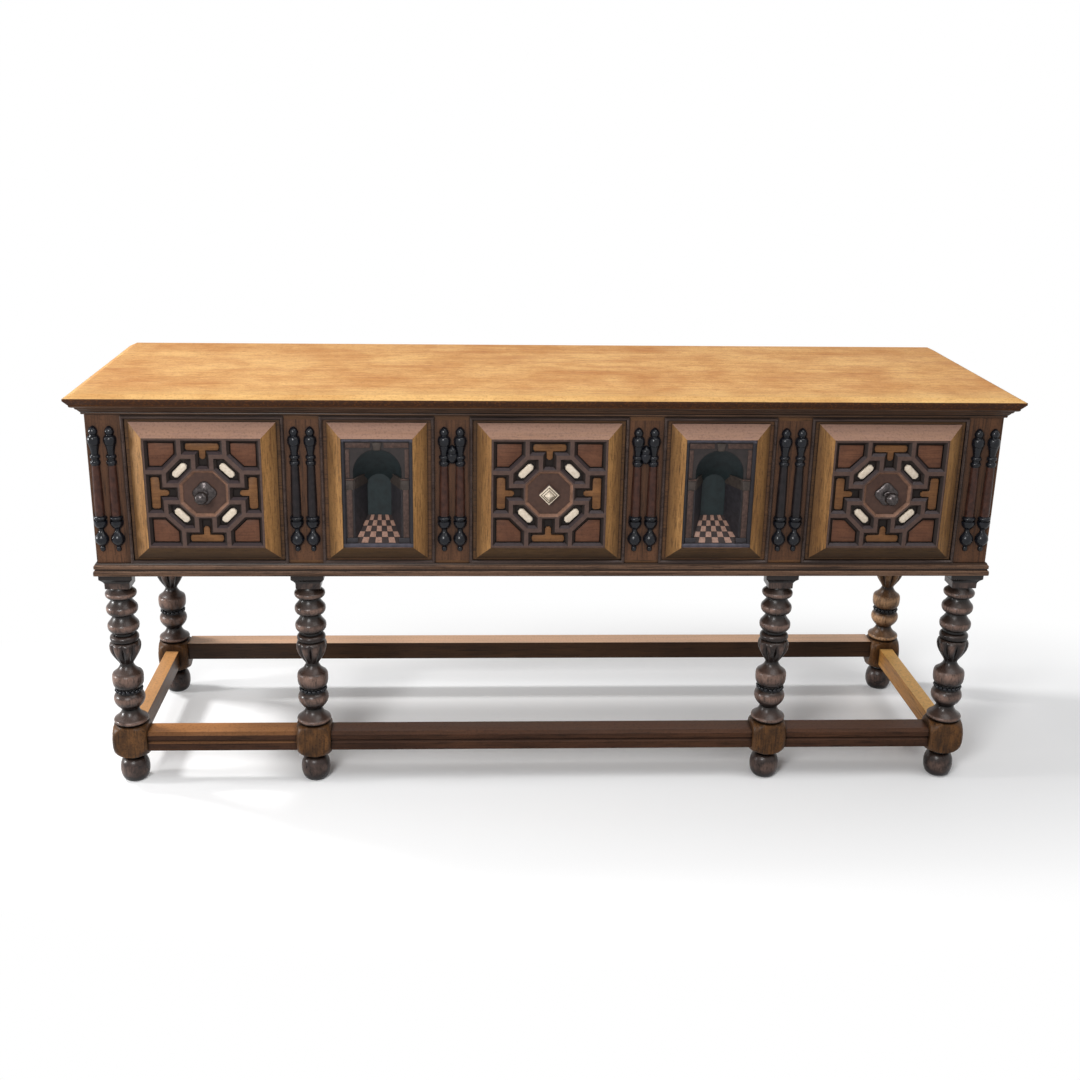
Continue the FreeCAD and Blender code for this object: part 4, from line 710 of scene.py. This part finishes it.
def inset(outline, amount):
    """A closed anticlockwise outline moved inwards by an amount."""
    moved = []
    count = len(outline)
    for index in range(count):
        before, here, after = (Vector(outline[(index + step) % count]) for step in (-1, 0, 1))
        first = (here - before).normalized()
        second = (after - here).normalized()
        normal = Vector((-first.y, first.x))
        bend = first.cross(second)
        shift = (1 - first.dot(second)) / bend if abs(bend) > 1e-6 else 0
        moved.append(here + amount * (normal - first * shift))
    return moved


def add_plate(form, outline, x, z, back, rise, edge, kind=0):
    """A plate with a softened front edge; the outline is anticlockwise about (x, z), seen from the
    front."""
    front = back - rise
    layers = ((0, back), (0, front + edge), (edge * 0.35, front + edge * 0.3), (edge, front))
    rings = [[(x + point[0], level, z + point[1]) for point in inset(outline, depth)]
             for depth, level in layers]
    add_rings(form, rings, material=[kind] * len(rings))


def turn_quarter(outline, turns):
    """An outline turned anticlockwise about the middle by quarter turns."""
    for _ in range(turns):
        outline = [(-point[1], point[0]) for point in outline]
    return outline


# The lattice's own drawing: strips on centre lines, cells set in from them with a thin joint, where the
# field beneath shows, painted dark as shade. The slanting strips run between two distances from the
# middle, NEAR on one axis and FAR on the other. A cell's corners beside them are moved along by SLANT,
# with the tangent of 22.5 degrees. FIELD_X and FIELD_Z are half the sizes of the field inside the
# outermost strips.
STRIP_HALF = 9
JOINT = 1.6
SET_IN = STRIP_HALF + JOINT
NEAR, FAR = 43, 74
STEM_LINE = 17
FIELD_X, FIELD_Z = LATTICE_X - STRIP_HALF, LATTICE_Z - STRIP_HALF
SLANT = SET_IN * 0.4142
CORNER_CELL = [(NEAR + SET_IN, FIELD_Z - JOINT), (NEAR + SET_IN, FAR + SLANT),
               (FAR + SLANT, NEAR + SET_IN), (FIELD_X - JOINT, NEAR + SET_IN),
               (FIELD_X - JOINT, FIELD_Z - JOINT)]
# How far the stem of a T reaches at its sides and at its tip, the tip's share of its breadth, and what is
# taken off the corners of the bar.
STEM_SIDE, STEM_TIP, TIP_SHARE = 13, 17, 0.4
CUT_X, CUT_Z = 3, 4


def tee_cell(reach):
    """A T veneer: a bar with softened ends along the frame and a short stem towards the middle."""
    side, low, stem = NEAR - SET_IN, FAR + SET_IN, STEM_LINE - SET_IN
    right = [(stem * TIP_SHARE, low - STEM_TIP), (stem, low - STEM_SIDE), (stem, low), (side - CUT_X, low),
             (side, low + CUT_Z), (side, reach - CUT_Z), (side - CUT_X, reach)]
    return right + [(-x, z) for x, z in reversed(right)]


# A bone bar lying along X, its ends cut to six-sided points, and its distance from the middle.
BONE_BAR = [(12.5, -7.2), (17, -3.4), (17, 3.4), (12.5, 7.2), (-12.5, 7.2), (-17, 3.4), (-17, -3.4),
            (-12.5, -7.2)]
BONE_REACH = 63.9


def make_drawer_inlays(bay, x):
    """Veneers in the lattice's corner and T cells, and a bone bar across each six-sided cell."""
    for kind, material in (("corner", RED_VENEER), ("tee", TAN_VENEER)):
        form = bmesh.new()
        for turn in range(4):
            if kind == "tee":
                outline = turn_quarter(tee_cell((FIELD_X if turn % 2 else FIELD_Z) - JOINT), turn)
            else:
                over, up = ((1, 1), (-1, 1), (-1, -1), (1, -1))[turn]
                outline = [(over * point[0], up * point[1]) for point in CORNER_CELL]
                outline = outline[::over * up]
            add_plate(form, outline, x, PANEL_Z, FIELD_LEVEL, rise=3.2, edge=1.4)
        new_piece(f"{bay}_drawer_{kind}_veneers", mesh_from(form), [material], f"{bay}_drawer")
    form = bmesh.new()
    for turn in range(4):
        angle = math.radians(135 + 90 * turn)
        along = Vector((math.cos(angle), math.sin(angle)))
        across = Vector((-along.y, along.x))
        outline = [along * point[0] + across * point[1] for point in BONE_BAR]
        centre = -across * BONE_REACH
        add_plate(form, outline, x + centre.x, PANEL_Z + centre.y, FIELD_LEVEL, rise=5, edge=2)
    new_piece(f"{bay}_drawer_bone_bars", mesh_from(form, 60), [BONE], f"{bay}_drawer",
              [f"{bay}_drawer_bones"])


for bay, bay_x in BAYS.items():
    make_drawer_inlays(bay, bay_x)

PULL_SIDES = 48


def add_forward_turning(form, x, outline, shape):
    """Rings about an axis that points to the front, in (distance ahead, radius); shape gives the share
    of the radius at an angle."""
    rings = []
    for ahead, radius in outline:
        ring = []
        for step in range(PULL_SIDES):
            angle = 2 * math.pi * step / PULL_SIDES
            reach = radius * shape(angle)
            ring.append((x + reach * math.cos(angle), OCTAGON_LEVEL - ahead,
                         PANEL_Z + reach * math.sin(angle)))
        rings.append(ring)
    add_rings(form, rings)


def diamond(angle):
    """A square standing on its corner."""
    return 1 / (abs(math.cos(angle)) + abs(math.sin(angle)))


def petals(angle):
    """A round with four shallow lobes."""
    return 0.91 + 0.09 * math.cos(4 * angle)


def faceted(angle):
    """A round with eight soft facets."""
    return 1 - 0.03 * math.cos(8 * angle)


IRON_PLATE = [(0, 23.4), (1.6, 23.4), (2.8, 22.2), (4, 19), (5.4, 14.6), (6.6, 10.6), (7, 6)]
IRON_KNOB = [(3, 8), (8, 6.8), (9, 7.6), (11, 7.6), (12, 6), (16, 4.8), (22, 4.4), (25, 5), (26.4, 8),
             (28.8, 11), (32.6, 12.9), (37, 12.9), (41, 11), (44, 7.6), (45.4, 4.2), (46, 0.6)]
BONE_KNOB = [(9, 15), (9.2, 19), (10, 19.5), (12.6, 19.5), (13.6, 18.8), (13.8, 16.8), (11.2, 16),
             (11.2, 15), (14.6, 13.6), (16.4, 11.6), (14.6, 11), (14.6, 10), (17.6, 8.4), (22.4, 3.4),
             (23.6, 1.8), (24, 0.6)]
KNOB_STEM = [(0, 20), (1.6, 20), (3, 17), (3, 9), (8, 8), (9, 8)]


def make_iron_pull(bay, x):
    """A forged knob on a four-lobed back plate."""
    form = bmesh.new()
    add_forward_turning(form, x, IRON_PLATE, petals)
    add_forward_turning(form, x, IRON_KNOB, faceted)
    new_piece(f"{bay}_drawer_iron_knob", mesh_from(form, 50), [IRON], f"{bay}_drawer",
              [f"{bay}_drawer_pull"])


def make_bone_pull(bay, x):
    """A bone diamond with a raised border and a low pyramid, on a short dark stem."""
    form = bmesh.new()
    add_forward_turning(form, x, BONE_KNOB, diamond)
    new_piece(f"{bay}_drawer_bone_knob", mesh_from(form, 30), [BONE], f"{bay}_drawer",
              [f"{bay}_drawer_pull"])
    form = bmesh.new()
    add_forward_turning(form, x, KNOB_STEM, diamond)
    new_piece(f"{bay}_drawer_knob_stem", mesh_from(form, 30), [NICHE_STRIP], f"{bay}_drawer")


make_iron_pull("left", BAYS["left"])
make_bone_pull("centre", BAYS["centre"])
make_iron_pull("right", BAYS["right"])

# Half of a niche's facade, as blocks: left, right, low and high edges from the middle, how far each
# stands out, and its finish.
FACADE_BLOCKS = ((40, 61, -101, -91, 2.6, 1), (49, 60, -91, 7, 1.8, 0), (46, 61, 7, 26, 2.4, 2),
                 (45, 61, 26.4, 29, 3.6, 0), (53, 61, 31, 88, 1.6, 0), (13, 61, 91, 101, 1.6, 0))
# What runs back along a wall: its top, its lower edge in front and behind, how far it stands out from
# the wall, and its finish.
WALL_RUNS = ((8, -101.6, -61, 1.2, 1), (26, 7, 7, 2.6, 2), (29, 26.4, 26.4, 4, 2))
KEYSTONE = [(-6, 86), (6, 86), (9, 102), (-9, 102)]
ARCH_HALF = 47
ARCH_DRAW = 23
NICHE_DEPTH = 52


def make_niche_front(side, x):
    """The little facade round each arch: pilasters with imposts that run back along the walls, strips
    above them and a keystone. The walls draw in and the floor rises towards the back."""
    form = bmesh.new()
    for hand in (-1, 1):
        for inner, outer, low, high, rise, kind in FACADE_BLOCKS:
            left, right = sorted((hand * inner, hand * outer))
            outline = [(left, low), (right, low), (right, high), (left, high)]
            add_plate(form, outline, x, PANEL_Z, NICHE_LEVEL, rise, edge=0.8, kind=kind)
        for high, low_front, low_back, stand, kind in WALL_RUNS:
            rings = []
            for deep, low in ((0.02, low_front), (0.97, low_back)):
                wall, level = ARCH_HALF - ARCH_DRAW * deep, NICHE_LEVEL + NICHE_DEPTH * deep
                rings.append([(x + hand * over, level, PANEL_Z + height) for over, height in (
                    (wall + 1, low), (wall - stand, low), (wall - stand, high), (wall + 1, high))])
            add_rings(form, rings, material=[kind, kind])
    add_plate(form, KEYSTONE, x, PANEL_Z, NICHE_LEVEL, rise=3.4, edge=1, kind=2)
    new_piece(f"{side}_niche_facade", mesh_from(form), [NICHE_STRIP, NICHE_BAND, NICHE_IMPOST],
              "carcase")


for side, niche_x in NICHES.items():
    make_niche_front(side, niche_x)

# The solids that each finish is for. The rest are dry oak.
FINISHES = (
    (TOP_OAK, ("top",)), (CASE_OAK, ("front_bottom_rail", "front_top_rail", "niche_panels")),
    (CASE_UPRIGHT, ("front_muntins", "front_post_left", "front_post_right", "rear_post_left",
                    "rear_post_right", "end_panels")),
    (CASE_END, ("end_rails",)), (BEAD_OAK, ("opening_beads",)), (NICHE_FRAME, ("niche_frames",)),
    (NICHE_PAINT, ("niche_recesses",)), (TILE_BONE, ("niche_tiles",)),
    (LIT_FRONT_STRETCHER, ("front_stretcher_left",)),
    (FRONT_STRETCHER, ("front_stretcher_centre", "front_stretcher_right")),
    (BACK_STRETCHER, ("back_stretcher",)), (END_STRETCHER, ("end_stretcher_left",)),
    (LIT_END_STRETCHER, ("end_stretcher_right",)), (PLAIN_UPRIGHT, ("back_boards",)),
    (PLAIN_SIDE, ("drawer_runners", "drawer_guides", "drawer_kickers")))
DRAWER_FINISHES = {"front": DRAWER_OAK, "frame": DRAWER_FRAME, "lattice": LATTICE_WOOD,
                   "sides": PLAIN_SIDE}
finish_of = {label: finish for finish, labels in FINISHES for label in labels}
for bay in BAYS:
    for part, finish in DRAWER_FINISHES.items():
        finish_of[f"{bay}_drawer_{part}"] = finish
for label, item in cad.items():
    item.data.materials.clear()
    item.data.materials.append(finish_of.get(label, PLAIN_OAK))

# Each lamp's name, width in metres, watts and place, and the point that all of them face.
LAMPS = (("window lamp", 0.9, 64, (-1.1, -2.9, 2.0)), ("overhead lamp", 2.0, 42, (1.0, -1.1, 3.4)),
         ("side lamp", 0.6, 112, (-3.1, 1.0, 3.5)), ("low lamp", 0.4, 80, (-3.8, -0.3, 0.9)))
LAMP_AIM = Vector((0, 0, 0.45))
# The floor in metres: its corners, and the oval round the feet in which shadows show. The oval is
# given by what places are multiplied by and moved by, and by where it starts and ends to fade.
FLOOR_CORNERS = ((-9, -6), (9, -6), (9, 12), (-9, 12))
OVAL_SCALE, OVAL_SHIFT = (0.42, 1, 1), (-0.1, 0, 0)
OVAL_FADE = (0.34, 0.84)


def sees_background(tree):
    """One for the rays that show the white background: from the camera, and those that gloss and glass
    send on."""
    ray = add(tree, "ShaderNodeLightPath").outputs
    sent_on = add(tree, "ShaderNodeMath", {0: ray["Is Glossy Ray"], 1: ray["Is Transmission Ray"]},
                  operation="MAXIMUM").outputs[0]
    return add(tree, "ShaderNodeMath", {0: ray["Is Camera Ray"], 1: sent_on},
               operation="MAXIMUM").outputs[0]


def make_stage():
    """A pale floor that keeps the shadow, a white surround, and the lamps."""
    form = bmesh.new()
    for corner in FLOOR_CORNERS:
        form.verts.new((*corner, 0))
    form.faces.new(form.verts)
    mesh = bpy.data.meshes.new("floor")
    form.to_mesh(mesh)
    form.free()
    floor = bpy.data.objects.new("floor", mesh)
    bpy.context.scene.collection.objects.link(floor)
    material, tree, place = new_material("pale matt floor")
    bounce = add(tree, "ShaderNodeBsdfDiffuse", {"Color": colour("#c4c4c4")}).outputs[0]
    pale = add(tree, "ShaderNodeBsdfDiffuse", {"Color": colour("#ffffff")}).outputs[0]
    lit = add(tree, "ShaderNodeEmission", {"Strength": 0.02}).outputs[0]
    near = add(tree, "ShaderNodeAddShader", {0: pale, 1: lit}).outputs[0]
    white = add(tree, "ShaderNodeEmission", {"Strength": 1.0}).outputs[0]
    oval = add(tree, "ShaderNodeVectorMath", {0: place, 1: OVAL_SCALE, 2: OVAL_SHIFT},
               operation="MULTIPLY_ADD").outputs[0]
    away = add(tree, "ShaderNodeVectorMath", {0: oval}, operation="LENGTH").outputs["Value"]
    fade = add(tree, "ShaderNodeMapRange",
               {"Value": away, "From Min": OVAL_FADE[0], "From Max": OVAL_FADE[1]},
               interpolation_type="SMOOTHSTEP").outputs[0]
    shown = add(tree, "ShaderNodeMixShader", {0: fade, 1: near, 2: white}).outputs[0]
    mixed = add(tree, "ShaderNodeMixShader", {0: sees_background(tree), 1: bounce, 2: shown})
    add(tree, "ShaderNodeOutputMaterial", {"Surface": mixed.outputs[0]})
    mesh.materials.append(material)

    world = bpy.data.worlds.new("white surround")
    world.use_nodes = True
    tree = world.node_tree
    tree.nodes.clear()
    soft = add(tree, "ShaderNodeBackground", {"Color": colour("#f4f6fa"), "Strength": 0.24}).outputs[0]
    white = add(tree, "ShaderNodeBackground", {"Color": (1, 1, 1, 1), "Strength": 1.0}).outputs[0]
    mixed = add(tree, "ShaderNodeMixShader", {0: sees_background(tree), 1: soft, 2: white})
    add(tree, "ShaderNodeOutputWorld", {"Surface": mixed.outputs[0]})
    bpy.context.scene.world = world

    for name, size, energy, spot in LAMPS:
        lamp = bpy.data.lights.new(name, "AREA")
        lamp.size = size
        lamp.energy = energy
        holder = bpy.data.objects.new(name, lamp)
        holder.location = spot
        holder.rotation_mode = "QUATERNION"
        holder.rotation_quaternion = (LAMP_AIM - holder.location).to_track_quat("-Z", "Y")
        bpy.context.scene.collection.objects.link(holder)


# Where the photograph was taken from: the camera's place, its pitch, yaw and roll in degrees, its lens
# on a sensor 36 mm wide, and how far the picture's middle is off the lens's axis.
CAMERA_PLACE = (-165.88, -2656.81, 1391.62)
CAMERA_TURNS = (18.021, -2.303, -0.775)
CAMERA_LENS, CAMERA_SENSOR = 43.537, 36
CAMERA_SHIFT = (0.02456, -0.02582)


def make_camera():
    """The camera, turned first about the upright, then down, then about its own axis."""
    pitch, yaw, roll = (math.radians(turn) for turn in CAMERA_TURNS)
    right = Vector((math.cos(yaw), math.sin(yaw), 0))
    ahead = Vector((-math.sin(yaw), math.cos(yaw), 0))
    forward = ahead * math.cos(pitch) - Vector((0, 0, math.sin(pitch)))
    up = ahead * math.sin(pitch) + Vector((0, 0, math.cos(pitch)))
    leaning_right = right * math.cos(roll) - up * math.sin(roll)
    leaning_up = right * math.sin(roll) + up * math.cos(roll)
    data = bpy.data.cameras.new("camera")
    data.sensor_width = CAMERA_SENSOR
    data.lens = CAMERA_LENS
    data.shift_x, data.shift_y = CAMERA_SHIFT
    camera = bpy.data.objects.new("camera", data)
    turn = Matrix((leaning_right, leaning_up, -forward)).transposed()
    camera.matrix_world = Matrix.Translation(Vector(CAMERA_PLACE) * MM) @ turn.to_4x4()
    bpy.context.scene.collection.objects.link(camera)
    bpy.context.scene.camera = camera


make_stage()
make_camera()
bpy.context.scene.view_settings.view_transform = "Standard"
